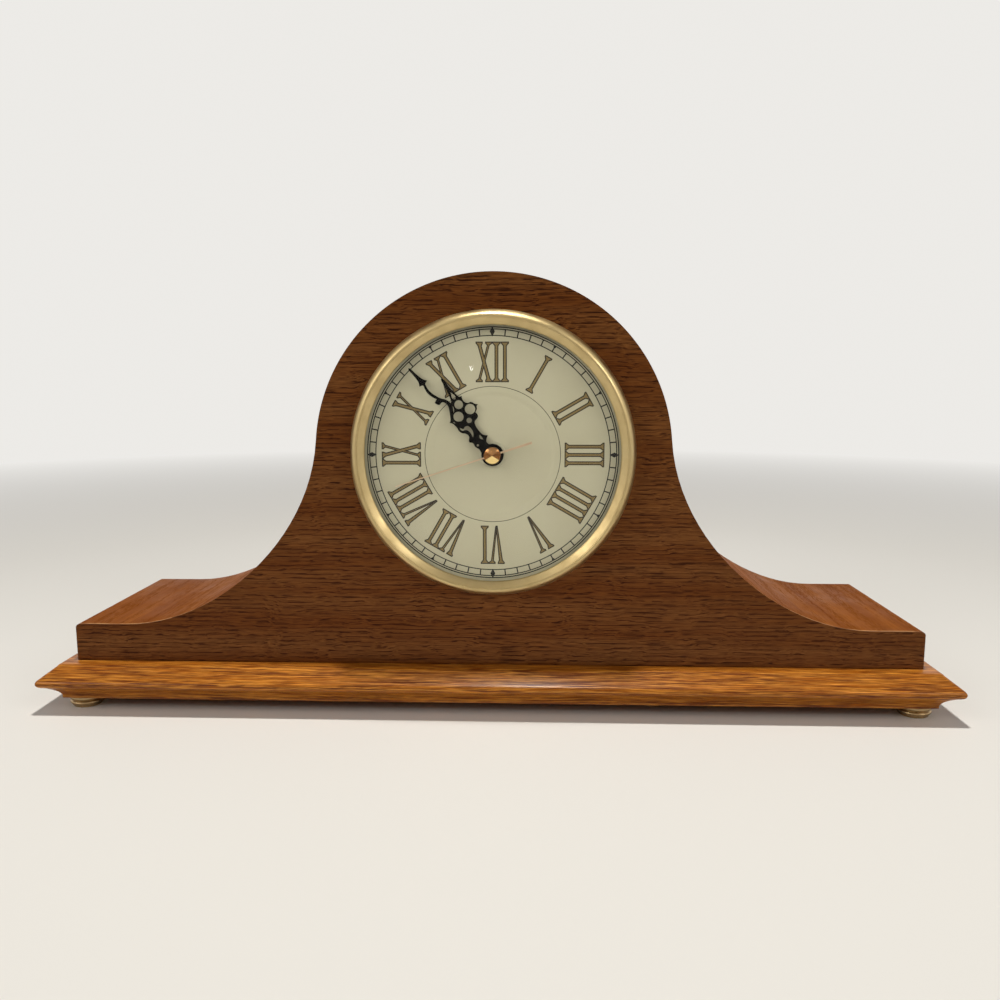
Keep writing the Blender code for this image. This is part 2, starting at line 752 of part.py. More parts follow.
magnet_foot = box(
    "magnet_foot",
    (magnet_left, magnet_rear - STRIKE_THICKNESS, -magnet_half),
    (opening_low[0], BACK_FRONT_Y - GAP, magnet_half),
)
join(magnet, magnet_foot)
magnet.location.z = door_middle_z + strike_z

# The frame of the dial and the movement, on the face of the case.
dial_frame = bpy.data.objects.new("dial_frame", None)
tools.objects.link(dial_frame)
dial_frame.location = (0, FACE_Y, DIAL_Z)
dial_frame.rotation_euler = (math.pi / 2, 0, 0)


def on_dial(obj, centre=(0, 0), angle=0.0):
    """Puts an object, built about its own axis, in the frame of the dial."""
    obj.parent = dial_frame
    obj.location = (centre[0], centre[1], 0)
    obj.rotation_euler = (0, 0, angle)
    return obj


# Heights of the dial, the nut and the hands above the face of the case.
dial_top = GAP + DIAL_THICKNESS
nut_low = dial_top + GAP
nut_high = nut_low + NUT_THICKNESS
hour_low = nut_high + GAP
hour_high = hour_low + COLLET_HEIGHT
minute_low = hour_high + RUNNING_GAP
minute_high = minute_low + COLLET_HEIGHT
second_low = minute_high + RUNNING_GAP
second_high = second_low + SECOND_BLADE_THICKNESS
cap_low = second_high + GAP
arbor_top = cap_low + CAP_HEIGHT * 0.4
blade_lift = GAP / 2

# The domed glass, low enough to clear the tip of the minute hand.
minute_length = DIAL_RADIUS - MINUTE_TIP_MARGIN
glass_radius = DIAL_RADIUS + GAP
ball = (glass_radius**2 + GLASS_RISE**2) / (2 * GLASS_RISE)


def dome_height(radius):
    """The height of the glass's outer face above its edge."""
    return GLASS_RISE - ball + math.sqrt(ball**2 - radius**2)


minute_blade_top = minute_low + blade_lift + BLADE_THICKNESS
glass_inside = minute_blade_top + HAND_CLEARANCE - dome_height(minute_length)
glass_outside = glass_inside + GLASS_THICKNESS
dome_radii = [glass_radius * step / 5 for step in range(6)]
outer_dome = [(radius, glass_outside + dome_height(radius)) for radius in dome_radii]
inner_dome = [(radius, glass_inside + dome_height(radius)) for radius in dome_radii]
on_dial(turned("dial_glass", outer_dome + inner_dome[::-1], glass, steps=36))

# The spun brass bezel: an outer edge, a rounded crest and a slope in to its lip. It is
# hollow behind, and the glass sits in the groove under the lip.
lip_radius = glass_radius - LIP_OVERLAP
glass_seat = glass_outside + dome_height(lip_radius) + GAP
lip_height = glass_seat + BEZEL_SHEET / 2
bezel_height = lip_height + CREST_RISE
groove = glass_radius + RUNNING_GAP
bezel_radius = groove + BEZEL_WIDTH
crest = (bezel_radius + lip_radius) / 2 + BEZEL_SHEET / 2
BEZEL_PROFILE = [
    (bezel_radius, bezel_height * 0.25),
    (bezel_radius, GAP),
    (bezel_radius - BEZEL_SHEET, GAP),
    (crest + BEZEL_SHEET / 2, bezel_height - 2 * BEZEL_SHEET),
    (groove + BEZEL_SHEET, lip_height - BEZEL_SHEET / 2),
    (groove + BEZEL_SHEET, GAP),
    (groove, GAP),
    (groove, glass_seat),
    (lip_radius, glass_seat),
    (lip_radius, lip_height),
    (crest - BEZEL_SHEET, bezel_height - BEZEL_SHEET / 4),
    (crest, bezel_height),
    (crest + BEZEL_SHEET, bezel_height - BEZEL_SHEET / 3),
    (bezel_radius - BEZEL_SHEET * 0.7, bezel_height * 0.55),
]
on_dial(turned("bezel", BEZEL_PROFILE, brass, steps=48, closed=True))

dial_outlines = [circle(DIAL_RADIUS, sides=60), circle(BUSH_RADIUS + RUNNING_GAP)]
on_dial(flat("dial_plate", dial_outlines, GAP, dial_top, dial_cream))
nut_bore = BUSH_RADIUS + GAP
nut_radius = BUSH_RADIUS + NUT_WIDTH
on_dial(pipe("fixing_nut", nut_radius, nut_bore, nut_low, nut_high, black_paint))


def shape(points, length, drawn_length):
    """A hand's (across, along) points in millimetres, stretched to the length it has."""
    stretch = length / drawn_length
    return [(x * 0.001, y * stretch) for x, y in points]


# The hour hand is the same on both sides: a stem with two barbs, two round loops side
# by side, a ring above them, and a leaf that runs out to the point.
HOUR_DRAWN = 44.4
HOUR_HALF = [
    (2.6, 4.0), (1.5, 5.6), (1.4, 7.4), (3.4, 9.3), (1.7, 10.9), (1.0, 13.4), (1.1, 16.6),
    (1.9, 18.6), (3.7, 19.3), (4.4, 20.6), (4.4, 21.6), (6.1, 23.1), (6.9, 24.6), (6.0, 26.6),
    (3.9, 27.8), (2.9, 29.3), (3.0, 30.6), (3.4, 32.0), (2.2, 32.4), (1.7, 34.0), (0.9, 37.2),
    (0.35, 41.0),
]
HOUR_HOLES = [
    circle(2.1, (3.2, 24.5), 6), circle(2.1, (-3.2, 24.5), 6), circle(1.9, (0, 29.2), 6),
    circle(0.8, (0, 20.4), 5), [(0.9, 33.4), (0, 36.4), (-0.9, 33.4), (0, 32.7)],
    [(0.45, 8.6), (0.35, 11.0), (0, 12.0), (-0.35, 11.0), (-0.45, 8.6), (0, 7.8)],
]

# The minute hand winds to the left and right, through one scroll and two barbs.
MINUTE_DRAWN = 58.2
MINUTE_RIGHT = [
    (2.5, 3.4), (1.5, 5.6), (2.2, 8.2), (1.4, 10.2), (3.3, 12.0), (2.2, 13.6), (2.9, 15.6),
    (2.6, 17.8), (1.8, 19.8), (0.8, 21.4), (0.6, 23.0), (1.2, 25.0), (2.3, 27.4), (2.9, 30.4),
    (2.9, 33.0), (2.3, 35.2), (1.0, 37.4), (0.1, 39.8), (-0.4, 42.2), (-0.4, 44.6),
    (0.1, 46.8), (0.5, 47.9), (1.9, 48.2), (1.0, 49.7), (0.55, 51.8), (0.35, 54.4),
]
MINUTE_LEFT = [
    (-0.5, 54.4), (-0.7, 51.8), (-1.0, 49.9), (-1.9, 48.5), (-0.8, 47.8), (-1.1, 46.2),
    (-1.6, 44.2), (-1.6, 41.8), (-1.1, 39.6), (-0.5, 38.0), (-2.3, 37.3), (-1.6, 35.6),
    (0.3, 35.4), (1.2, 33.6), (1.5, 31.2), (1.0, 28.8), (-0.4, 26.6), (-2.0, 25.7),
    (-3.5, 25.0), (-2.9, 23.4), (-2.9, 21.6), (-3.5, 19.7), (-3.2, 17.9), (-1.9, 16.4),
    (-1.7, 14.4), (-3.3, 12.2), (-1.4, 10.3), (-2.2, 8.3), (-1.5, 5.7), (-2.5, 3.4),
]
MINUTE_HOLES = [
    [(-0.2, 12.6), (1.5, 14.4), (1.7, 16.6), (0.9, 18.8), (-0.6, 20.4), (-2.1, 20.2),
     (-2.4, 19.0), (-1.6, 18.2), (-0.4, 17.4), (0.1, 15.6)],
    circle(0.55, (-0.1, 8.6), 5),
    [(-1.9, 24.6), (-1.6, 22.8), (-0.9, 23.2), (-0.7, 24.9)],
]


def hand(name, edge, holes, length, drawn, low, bore, material):
    """A pierced blade with a collet round its bore."""
    outlines = [shape(edge, length, drawn)] + [shape(hole, length, drawn) for hole in holes]
    blade = flat(name, outlines, low, low + BLADE_THICKNESS, material, smooth=True)
    inside = rod(f"{name}_bore", bore, low - COLLET_HEIGHT, low + 2 * COLLET_HEIGHT, steps=16)
    collet = pipe(
        f"{name}_collet", bore + COLLET_WALL, bore, low - GAP / 2, low - GAP / 2 + COLLET_HEIGHT
    )
    cut(blade, inside)
    join(blade, collet)
    return blade


hub_arc = arc((0, 0), 4.3, 232, 308, 5)
hour_edge = hub_arc + HOUR_HALF + [(0, HOUR_DRAWN)] + [(-x, y) for x, y in HOUR_HALF[::-1]]
minute_edge = hub_arc + MINUTE_RIGHT + [(-0.1, MINUTE_DRAWN)] + MINUTE_LEFT
minute_angle = -math.tau * (REST_HOURS % 1)
hour_angle = -math.tau * REST_HOURS / 12
second_angle = -math.tau * REST_SECONDS / 60
hour_hand = hand(
    "hour_hand", hour_edge, HOUR_HOLES, HOUR_HAND_LENGTH, HOUR_DRAWN,
    hour_low + blade_lift, HOUR_PIPE_RADIUS + GAP / 2, black_paint,
)
on_dial(hour_hand, angle=hour_angle)
minute_hand = hand(
    "minute_hand", minute_edge, MINUTE_HOLES, minute_length, MINUTE_DRAWN,
    minute_low + blade_lift, MINUTE_PIPE_RADIUS + GAP / 2, black_paint,
)
on_dial(minute_hand, angle=minute_angle)

second_edge = (
    arc((0, 0), SECOND_HUB_RADIUS, -80, 80, 7)
    + [(SECOND_TIP_WIDTH / 2, SECOND_HAND_LENGTH), (-SECOND_TIP_WIDTH / 2, SECOND_HAND_LENGTH)]
    + arc((0, 0), SECOND_HUB_RADIUS, 100, 260, 7)
    + [(-SECOND_TAIL_WIDTH / 2, -SECOND_TAIL_LENGTH), (SECOND_TAIL_WIDTH / 2, -SECOND_TAIL_LENGTH)]
)
second_hand = flat(
    "second_hand",
    [second_edge, circle(SECONDS_ARBOR_RADIUS + GAP / 2, sides=16)],
    second_low,
    second_high,
    rose_gold,
)
on_dial(second_hand, angle=second_angle)

cap_bore = SECONDS_ARBOR_RADIUS + GAP / 2
cap_profile = [
    (0, cap_low + CAP_HEIGHT),
    (CAP_RADIUS * 0.93, cap_low + CAP_HEIGHT * 0.5),
    (CAP_RADIUS, cap_low + CAP_HEIGHT * 0.36),
    (CAP_RADIUS, cap_low),
    (cap_bore, cap_low),
    (cap_bore, arbor_top + GAP),
    (0, arbor_top + GAP),
]
on_dial(turned("hand_cap", cap_profile, brass), angle=second_angle)


# The movement's wheels lie in planes that step back from the inside of its front.
def plane(step):
    """The height of the front of a plane of wheels."""
    return INNER_FRONT - PLANE_START - step * PLANE_PITCH


def polar(length, angle, start=(0, 0)):
    return (start[0] + length * math.cos(angle), start[1] + length * math.sin(angle))


def toothed(name, teeth, module, tooth_at, corners, low, high, bore, material=None):
    """A toothed plate. The corners are (addendum, share of the pitch) steps of a tooth."""
    pitch = math.tau / teeth
    centres = [tooth_at + tooth * pitch for tooth in range(teeth)]
    edge = [
        polar(module * (teeth / 2 + step), centre + share * pitch)
        for centre in centres
        for step, share in corners
    ]
    outlines = [edge, circle(bore, sides=12)] if bore else [edge]
    return flat(name, outlines, low, high, material)


def wheel(name, teeth, module, angle, front, thickness, bore=None, material=None):
    """A wheel behind the height front, with the point of a tooth at the angle."""
    corners = ((-DEDENDUM, -WHEEL_TOOTH_SHARE), (ADDENDUM, 0), (-DEDENDUM, WHEEL_TOOTH_SHARE))
    return toothed(name, teeth, module, angle, corners, front - thickness, front, bore, material)


def pinion(name, teeth, module, angle, front, thickness, bore=None):
    """A pinion a little wider than the wheel that it meets, with a gap at the angle."""
    half = (-DEDENDUM, LEAF_ROOT_SHARE), (ADDENDUM, LEAF_TIP_SHARE)
    corners = [(step, -share) for step, share in half] + list(half[::-1])
    low, high = front - thickness - PINION_MARGIN, front + PINION_MARGIN
    return toothed(name, teeth, module, angle + math.pi / teeth, corners, low, high, bore)


motion_at = polar(MOTION_MODULE * (CANNON_TEETH + MOTION_TEETH) / 2, MOTION_ANGLE)
hour_module = 2 * math.hypot(*motion_at) / (HOUR_TEETH + MOTION_PINION_TEETH)
setting_at = polar(MOTION_MODULE * (MOTION_TEETH + SETTING_TEETH) / 2, MOTION_ANGLE, motion_at)
third_span = CENTRE_MODULE * (CENTRE_TEETH + PINION_TEETH) / 2
third_at = polar(third_span, THIRD_ANGLE)
third_module = 2 * third_span / (THIRD_TEETH + PINION_TEETH)
intermediate_span = SECONDS_MODULE * (SECONDS_TEETH + PINION_TEETH) / 2
intermediate_at = polar(intermediate_span, INTERMEDIATE_ANGLE)
rotor_span = ROTOR_MODULE * (INTERMEDIATE_TEETH + PINION_TEETH) / 2
rotor_at = polar(rotor_span, ROTOR_ANGLE, intermediate_at)
middle_front = plane(4)
bridge_front = plane(9)
bridge_rear = bridge_front - PLATE_THICKNESS
arbor_end = bridge_rear + GAP
speaker_rear = bridge_rear - SPEAKER_FRONT_MARGIN - SPEAKER_DEPTH
inner_rear = speaker_rear - RUNNING_GAP
movement_rear = inner_rear - WALL

# The stator lies round the rotor, with the coil's window above, the circuit board lies
# over the coil, and the battery bay under the setting knob's shaft.
half_width = MOVEMENT_WIDTH / 2
rotor_hole = ROTOR_RADIUS + ROTOR_AIR_GAP
window_height = COIL_RADIUS - CORE_WIDTH / 2 + WALL_CLEARANCE
stator_right = rotor_at[0] + rotor_hole + STATOR_SIDE
stator_left = stator_right - 3 * CORE_WIDTH - COIL_LENGTH - 2 * COIL_END_MARGIN
window_bottom = rotor_at[1] + rotor_hole + STATOR_BRIDGE
core_low = window_bottom + window_height
stator_low = (stator_left, rotor_at[1] - rotor_hole - STATOR_EDGE)
stator_high = (stator_right, core_low + CORE_WIDTH)
speaker_at = (half_width - WALL - SPEAKER_SIDE_MARGIN - SPEAKER_RADIUS, SPEAKER_Y)
coil_top = core_low + CORE_WIDTH / 2 + COIL_RADIUS
board_low = (-half_width + WALL + BOARD_END_MARGIN, coil_top + BOARD_COIL_MARGIN)
board_right = speaker_at[0] - SPEAKER_RADIUS - BOARD_SPEAKER_MARGIN
board_high = (board_right, board_low[1] + BOARD_HEIGHT)
movement_top = board_high[1] + BOARD_TOP_MARGIN + WALL
bay_top = setting_at[1] - SETTING_SHAFT_RADIUS - BATTERY_SHAFT_MARGIN - WALL
battery_y = bay_top - RUNNING_GAP - BATTERY_RADIUS
movement_bottom = battery_y - BATTERY_RADIUS - GAP - WALL
third_tip = third_module * (THIRD_TEETH / 2 + ADDENDUM)
rotor_post_x = rotor_at[0] - ROTOR_RADIUS - ROTOR_POST_CLEARANCE
rotor_post_y = stator_low[1] - STATOR_POST_CLEARANCE - POST_RADII[1]
third_post_x = third_at[0] + third_tip + THIRD_POST_CLEARANCE + POST_RADII[0]
posts = ((rotor_post_x, rotor_post_y), (third_post_x, 0))

# The front half of the movement's case, with the threaded bush, the stud of the motion
# wheel and the posts that carry the plates, the stator and the circuit board.
front_case = box(
    "movement_front_case",
    (-half_width, movement_bottom, MOVEMENT_SEAM),
    (half_width, movement_top, MOVEMENT_FRONT),
    black_plastic,
)
on_dial(front_case)
hollow_low = (-half_width + WALL, movement_bottom + WALL)
hollow_high = (half_width - WALL, movement_top - WALL)
cut(front_case, box("front_hollow", (*hollow_low, MOVEMENT_SEAM - WALL), (*hollow_high, INNER_FRONT)))
join(front_case, rod("bush", BUSH_RADIUS, INNER_FRONT + WALL / 2, nut_high, steps=20))
stud_end = plane(1) - HEAVY_WHEEL - RUNNING_GAP
stud = rod("stud", STUD_RADIUS, stud_end, INNER_FRONT + WALL / 2)
stud.location = (*motion_at, 0)
join(front_case, stud)
wide, middle, narrow = POST_RADII
for number, centre in enumerate(posts):
    post_profile = [
        (0, INNER_FRONT + WALL / 2),
        (wide, INNER_FRONT + WALL / 2),
        (wide, middle_front + GAP),
        (middle, middle_front + GAP),
        (middle, bridge_front + GAP),
        (narrow, bridge_front + GAP),
        (narrow, bridge_rear),
        (0, bridge_rear),
    ]
    post = turned(f"post_{number}", post_profile, steps=12)
    post.location = (*centre, 0)
    join(front_case, post)
stator_front = plane(7) - (ROTOR_LENGTH - STATOR_THICKNESS) / 2
board_front = INNER_FRONT - BOARD_DEPTH
board_post_y = board_high[1] - BOARD_POST_INSET[1]
slim_posts = [
    ((stator_low[0] + STATOR_POST_INSET, rotor_at[1]), stator_front + GAP),
    ((board_low[0] + BOARD_POST_INSET[0], board_post_y), board_front + GAP),
    ((board_high[0] - BOARD_POST_INSET[0], board_post_y), board_front + GAP),
]
for number, (centre, end) in enumerate(slim_posts):
    post = rod(f"slim_post_{number}", wide / 2, end, INNER_FRONT + WALL / 2)
    post.location = (*centre, 0)
    join(front_case, post)
cut(front_case, rod("bush_bore", BUSH_BORE, INNER_FRONT - WALL, nut_high + WALL, steps=20))

on_dial(
    pipe(
        "rubber_washer", BUSH_RADIUS + WASHER_WIDTH, BUSH_RADIUS + RUNNING_GAP,
        MOVEMENT_FRONT + GAP, MOVEMENT_FRONT + GAP + WASHER_THICKNESS, rubber,
    )
)


# Two flat plates that hold the arbors.
def train_plate(name, front, post_radius, holes):
    low = (posts[0][0] - PLATE_MARGIN, posts[0][1] - PLATE_MARGIN)
    high = (posts[1][0] + PLATE_MARGIN, third_at[1] + PLATE_MARGIN)
    outlines = [rounded(low, high, POST_RADII[0])]
    outlines += [circle(post_radius + RUNNING_GAP, centre, 12) for centre in posts]
    outlines += [circle(radius, centre, 12) for radius, centre in holes]
    return on_dial(flat(name, outlines, front - PLATE_THICKNESS, front, steel))


slim_bore = ARBOR_RADIUS + GAP
pivots = [(slim_bore, third_at), (slim_bore, intermediate_at), (slim_bore, rotor_at)]
pivots.append((SECONDS_ARBOR_RADIUS + GAP, (0, 0)))
train_plate("middle_plate", middle_front, middle, pivots)
train_plate("train_bridge", bridge_front, narrow, pivots)

# Hour wheel and its pipe, cannon pinion and its pipe, and the motion wheel between them.
hour_front = plane(0)
motion_front = plane(1)
hour_wheel = pipe(
    "hour_wheel", HOUR_PIPE_RADIUS, HOUR_PIPE_BORE, hour_front - HEAVY_WHEEL, hour_high, white_plastic
)
join(
    hour_wheel,
    wheel("hour_teeth", HOUR_TEETH, hour_module, MOTION_ANGLE, hour_front, HEAVY_WHEEL,
          (HOUR_PIPE_RADIUS + HOUR_PIPE_BORE) / 2),
)
on_dial(hour_wheel)

cannon_rear = plane(2) - LIGHT_WHEEL - WALL_CLEARANCE
cannon = pipe(
    "cannon_pinion", MINUTE_PIPE_RADIUS, MINUTE_PIPE_BORE, cannon_rear, minute_high, brass
)
join(
    cannon,
    pinion("cannon_teeth", CANNON_TEETH, MOTION_MODULE, MOTION_ANGLE, motion_front, HEAVY_WHEEL,
           (MINUTE_PIPE_RADIUS + MINUTE_PIPE_BORE) / 2),
)
on_dial(cannon)

motion_bore = STUD_RADIUS + GAP
motion_wheel = wheel(
    "motion_wheel", MOTION_TEETH, MOTION_MODULE, MOTION_ANGLE, motion_front, HEAVY_WHEEL,
    material=white_plastic,
)
motion_hub = (MOTION_PINION_TEETH / 2 - DEDENDUM) * hour_module
motion_middle = motion_front - HEAVY_WHEEL / 2
join(
    motion_wheel,
    rod("motion_hub", motion_hub, motion_middle, hour_front - HEAVY_WHEEL / 2),
    pinion("motion_pinion", MOTION_PINION_TEETH, hour_module, MOTION_ANGLE + math.pi,
           hour_front, HEAVY_WHEEL),
)
cut(motion_wheel, rod("motion_bore", motion_bore, motion_front - WALL, INNER_FRONT))
on_dial(motion_wheel, motion_at)

# The setting knob: its wheel turns the motion wheel, and its head stands behind the case.
knob_head = movement_rear - GAP
knob_end = knob_head - SETTING_KNOB_LENGTH
shaft_start = INNER_FRONT - RUNNING_GAP
knob_outline = [
    (0, shaft_start),
    (SETTING_SHAFT_RADIUS, shaft_start),
    (SETTING_SHAFT_RADIUS, knob_head),
    (SETTING_KNOB_RADIUS, knob_head),
    (SETTING_KNOB_RADIUS, knob_end + SETTING_KNOB_LENGTH * 0.15),
    (SETTING_KNOB_RADIUS * 0.88, knob_end),
    (0, knob_end),
]
setting_turn = math.pi / SETTING_TEETH
setting_knob = turned("setting_knob", knob_outline, white_plastic, steps=16)
join(
    setting_knob,
    wheel("setting_teeth", SETTING_TEETH, MOTION_MODULE, MOTION_ANGLE + math.pi + setting_turn,
          motion_front, HEAVY_WHEEL),
)
on_dial(setting_knob, setting_at)

# The going train, from the seconds arbor back to the rotor.
seconds_arbor = rod("seconds_wheel", SECONDS_ARBOR_RADIUS, arbor_end, arbor_top, steel)
join(
    seconds_arbor,
    pinion("seconds_pinion", PINION_TEETH, third_module, THIRD_ANGLE, plane(3), LIGHT_WHEEL),
    wheel("seconds_teeth", SECONDS_TEETH, SECONDS_MODULE, INTERMEDIATE_ANGLE, plane(5), LIGHT_WHEEL),
)
on_dial(seconds_arbor)

centre_wheel = wheel(
    "centre_wheel", CENTRE_TEETH, CENTRE_MODULE, THIRD_ANGLE, plane(2), LIGHT_WHEEL,
    MINUTE_PIPE_RADIUS + GAP, brass,
)
on_dial(centre_wheel)

third_wheel = rod("third_wheel", ARBOR_RADIUS, arbor_end, shaft_start, steel)
join(
    third_wheel,
    pinion("third_pinion", PINION_TEETH, CENTRE_MODULE, THIRD_ANGLE + math.pi, plane(2), LIGHT_WHEEL),
    wheel("third_teeth", THIRD_TEETH, third_module, THIRD_ANGLE + math.pi, plane(3), LIGHT_WHEEL),
)
on_dial(third_wheel, third_at)

intermediate_start = middle_front - GAP
intermediate_wheel = rod(
    "intermediate_wheel", ARBOR_RADIUS, arbor_end, intermediate_start, white_plastic
)
join(
    intermediate_wheel,
    pinion("intermediate_pinion", PINION_TEETH, SECONDS_MODULE, INTERMEDIATE_ANGLE + math.pi,
           plane(5), LIGHT_WHEEL),
    wheel("intermediate_teeth", INTERMEDIATE_TEETH, ROTOR_MODULE, ROTOR_ANGLE, plane(6), LIGHT_WHEEL),
)
on_dial(intermediate_wheel, intermediate_at)

rotor = rod("rotor", ARBOR_RADIUS, arbor_end, intermediate_start, steel)
join(
    rotor,
    pinion("rotor_pinion", PINION_TEETH, ROTOR_MODULE, ROTOR_ANGLE + math.pi, plane(6), LIGHT_WHEEL),
    rod("rotor_magnet", ROTOR_RADIUS, plane(7) - ROTOR_LENGTH, plane(7), steps=20),
)
on_dial(rotor, rotor_at)

# The stator, a plate with the rotor's hole and a window, and the coil on its upper leg.
window_low = (stator_low[0] + CORE_WIDTH * 1.5, window_bottom)
window_high = (stator_high[0] - CORE_WIDTH * 1.5, core_low)
stator = flat(
    "stator",
    [
        rounded(stator_low, stator_high, CORE_WIDTH / 2),
        circle(rotor_hole, rotor_at),
        [window_low, (window_high[0], window_low[1]), window_high, (window_low[0], window_high[1])],
    ],
    stator_front - STATOR_THICKNESS,
    stator_front,
    steel,
)
on_dial(stator)

core_middle = (
    (window_low[0] + window_high[0]) / 2,
    core_low + CORE_WIDTH / 2,
    stator_front - STATOR_THICKNESS / 2,
)
flange = COIL_LENGTH / 2
winding = flange - WALL_CLEARANCE * 2
coil_profile = [
    (0, flange), (COIL_RADIUS, flange), (COIL_RADIUS, winding), (COIL_RADIUS * 0.85, winding),
    (COIL_RADIUS * 0.85, -winding), (COIL_RADIUS, -winding), (COIL_RADIUS, -flange), (0, -flange),
]
coil = turned("drive_coil", coil_profile, copper, steps=16)
core_hole = (STATOR_THICKNESS / 2 + RUNNING_GAP, CORE_WIDTH / 2 + RUNNING_GAP)
cut(coil, box("core_hole", (-core_hole[0], -core_hole[1], -flange * 2), (*core_hole, flange * 2)))
on_dial(coil)
coil.location = core_middle
coil.rotation_euler = (0, math.pi / 2, 0)

# The circuit board, with its chip and quartz crystal.
board_rear = board_front - BOARD_THICKNESS
chip_foot = board_front - BOARD_THICKNESS / 2
circuit_board = box(
    "circuit_board", (*board_low, board_rear), (*board_high, board_front), green_board
)
chip_profile = [
    (0, board_front + CHIP_HEIGHT),
    (CHIP_RADIUS * 0.6, board_front + CHIP_HEIGHT * 0.85),
    (CHIP_RADIUS, chip_foot),
    (0, chip_foot),
]
chip = turned("chip", chip_profile, steps=16)
chip.location = (board_low[0] + CHIP_PLACE[0], board_low[1] + CHIP_PLACE[1], 0)
crystal = box("crystal", (0, 0, chip_foot), (*CRYSTAL_SIZE[:2], board_front + CRYSTAL_SIZE[2]))
crystal.location = (board_low[0] + CRYSTAL_PLACE[0], board_low[1] + CRYSTAL_PLACE[1], 0)
join(circuit_board, chip, crystal)
on_dial(circuit_board)

# The back half of the movement's case, open to the rear over the battery, with slots
# over the speaker and a slot for each slider.
battery_z = inner_rear + RUNNING_GAP + BATTERY_RADIUS
contact_room = GAP + CONTACT_THICKNESS + RUNNING_GAP
spring_room = contact_room + SPRING_BOW
bay_half = (BATTERY_LENGTH + BATTERY_NUB_LENGTH + contact_room + spring_room) / 2
battery_x = spring_room + BATTERY_LENGTH / 2 - bay_half
back_case = box(
    "movement_back_case",
    (-half_width, movement_bottom, movement_rear),
    (half_width, movement_top, MOVEMENT_SEAM - GAP),
    black_plastic,
)
on_dial(back_case)
cut(back_case, box("back_hollow", (*hollow_low, inner_rear), (*hollow_high, MOVEMENT_SEAM + WALL)))
bay_wall_front = MOVEMENT_SEAM - GAP
rear_overlap = inner_rear - WALL / 2
bay_shelf = box(
    "bay_shelf",
    (-bay_half - WALL, bay_top, rear_overlap),
    (bay_half + WALL, bay_top + WALL, bay_wall_front),
)
join(back_case, bay_shelf)
for side, sign in (("left", -1), ("right", 1)):
    inner, outer = sorted((sign * bay_half, sign * (bay_half + WALL)))
    bay_end = box(
        f"bay_end_{side}",
        (inner, movement_bottom + WALL / 2, rear_overlap),
        (outer, bay_top + WALL / 2, bay_wall_front),
    )
    join(back_case, bay_end)
rear_through = (movement_rear - WALL, inner_rear + WALL / 2)
cut(
    back_case,
    box("bay_mouth", (-bay_half, movement_bottom + WALL, rear_through[0]),
        (bay_half, bay_top, rear_through[1])),
)
shaft_hole = rod("shaft_hole", SETTING_SHAFT_RADIUS + RUNNING_GAP, *rear_through)
shaft_hole.location = (*setting_at, 0)
cut(back_case, shaft_hole)
grille_length = SPEAKER_RADIUS * 1.2
for number, slot in enumerate(
    slots(GRILLE_SLOTS, speaker_at, grille_length, SLOT_WIDTH / 2, GRILLE_SPACING)
):
    cut(back_case, flat(f"grille_{number}", [slot], *rear_through))
slider_x = board_low[0] + SLIDER_PLACE[0]
chime_y = board_high[1] - SLIDER_PLACE[1]
slider_ys = (chime_y, chime_y - SLIDER_SPACING)
for number, y in enumerate(slider_ys):
    low = (slider_x - SLIDER_SIZE[0] / 2 - RUNNING_GAP, y - SLIDER_SIZE[1] / 2 - RUNNING_GAP)
    high = (-low[0] + 2 * slider_x + SLIDER_TRAVEL, 2 * y - low[1])
    cut(back_case, box(f"slider_slot_{number}", (*low, rear_through[0]), (*high, rear_through[1])))

speaker = turned(
    "speaker",
    [
        (0, speaker_rear + SPEAKER_DEPTH),
        (SPEAKER_RADIUS * 0.55, speaker_rear + SPEAKER_DEPTH),
        (SPEAKER_RADIUS * 0.55, speaker_rear + SPEAKER_DEPTH * 0.5),
        (SPEAKER_RADIUS * 0.94, speaker_rear + SPEAKER_DEPTH * 0.35),
        (SPEAKER_RADIUS, speaker_rear + SPEAKER_DEPTH * 0.35),
        (SPEAKER_RADIUS, speaker_rear),
        (SPEAKER_RADIUS * 0.85, speaker_rear),
        (SPEAKER_RADIUS * 0.35, speaker_rear + SPEAKER_DEPTH * 0.25),
        (0, speaker_rear + SPEAKER_DEPTH * 0.15),
    ],
    steel,
)
on_dial(speaker, speaker_at)

# One cell, with a bowed spring strip at its flat end and a plain contact at the other.
battery = turned(
    "battery",
    [
        (0, BATTERY_LENGTH / 2 + BATTERY_NUB_LENGTH),
        (BATTERY_NUB_RADIUS, BATTERY_LENGTH / 2 + BATTERY_NUB_LENGTH),
        (BATTERY_NUB_RADIUS, BATTERY_LENGTH / 2),
        (BATTERY_RADIUS * 0.94, BATTERY_LENGTH / 2),
        (BATTERY_RADIUS, BATTERY_LENGTH / 2 - BATTERY_RADIUS * 0.06),
        (BATTERY_RADIUS, -BATTERY_LENGTH / 2),
        (0, -BATTERY_LENGTH / 2),
    ],
    battery_sleeve,
)
on_dial(battery)
battery.location = (battery_x, battery_y, battery_z)
battery.rotation_euler = (0, math.pi / 2, 0)

contact_x = bay_half - GAP
contact_half = CONTACT_SIZE / 2
contact = box(
    "battery_contact",
    (contact_x - CONTACT_THICKNESS, -contact_half, -contact_half),
    (contact_x, contact_half, contact_half),
    steel,
)
on_dial(contact)
contact.location = (0, battery_y, battery_z)

# The spring strip is bowed towards the cell, one half of a wave across its height.
bow_steps = [step / 8 for step in range(9)]
spring_face = -bay_half + GAP
bow = [
    (spring_face + SPRING_BOW * math.sin(math.pi * share), contact_half * (2 * share - 1))
    for share in bow_steps
]
strip = [(x + CONTACT_THICKNESS, y) for x, y in bow] + bow[::-1]
spring = flat("battery_spring", [strip], -contact_half, contact_half, steel)
on_dial(spring)
spring.location = (0, battery_y, battery_z)

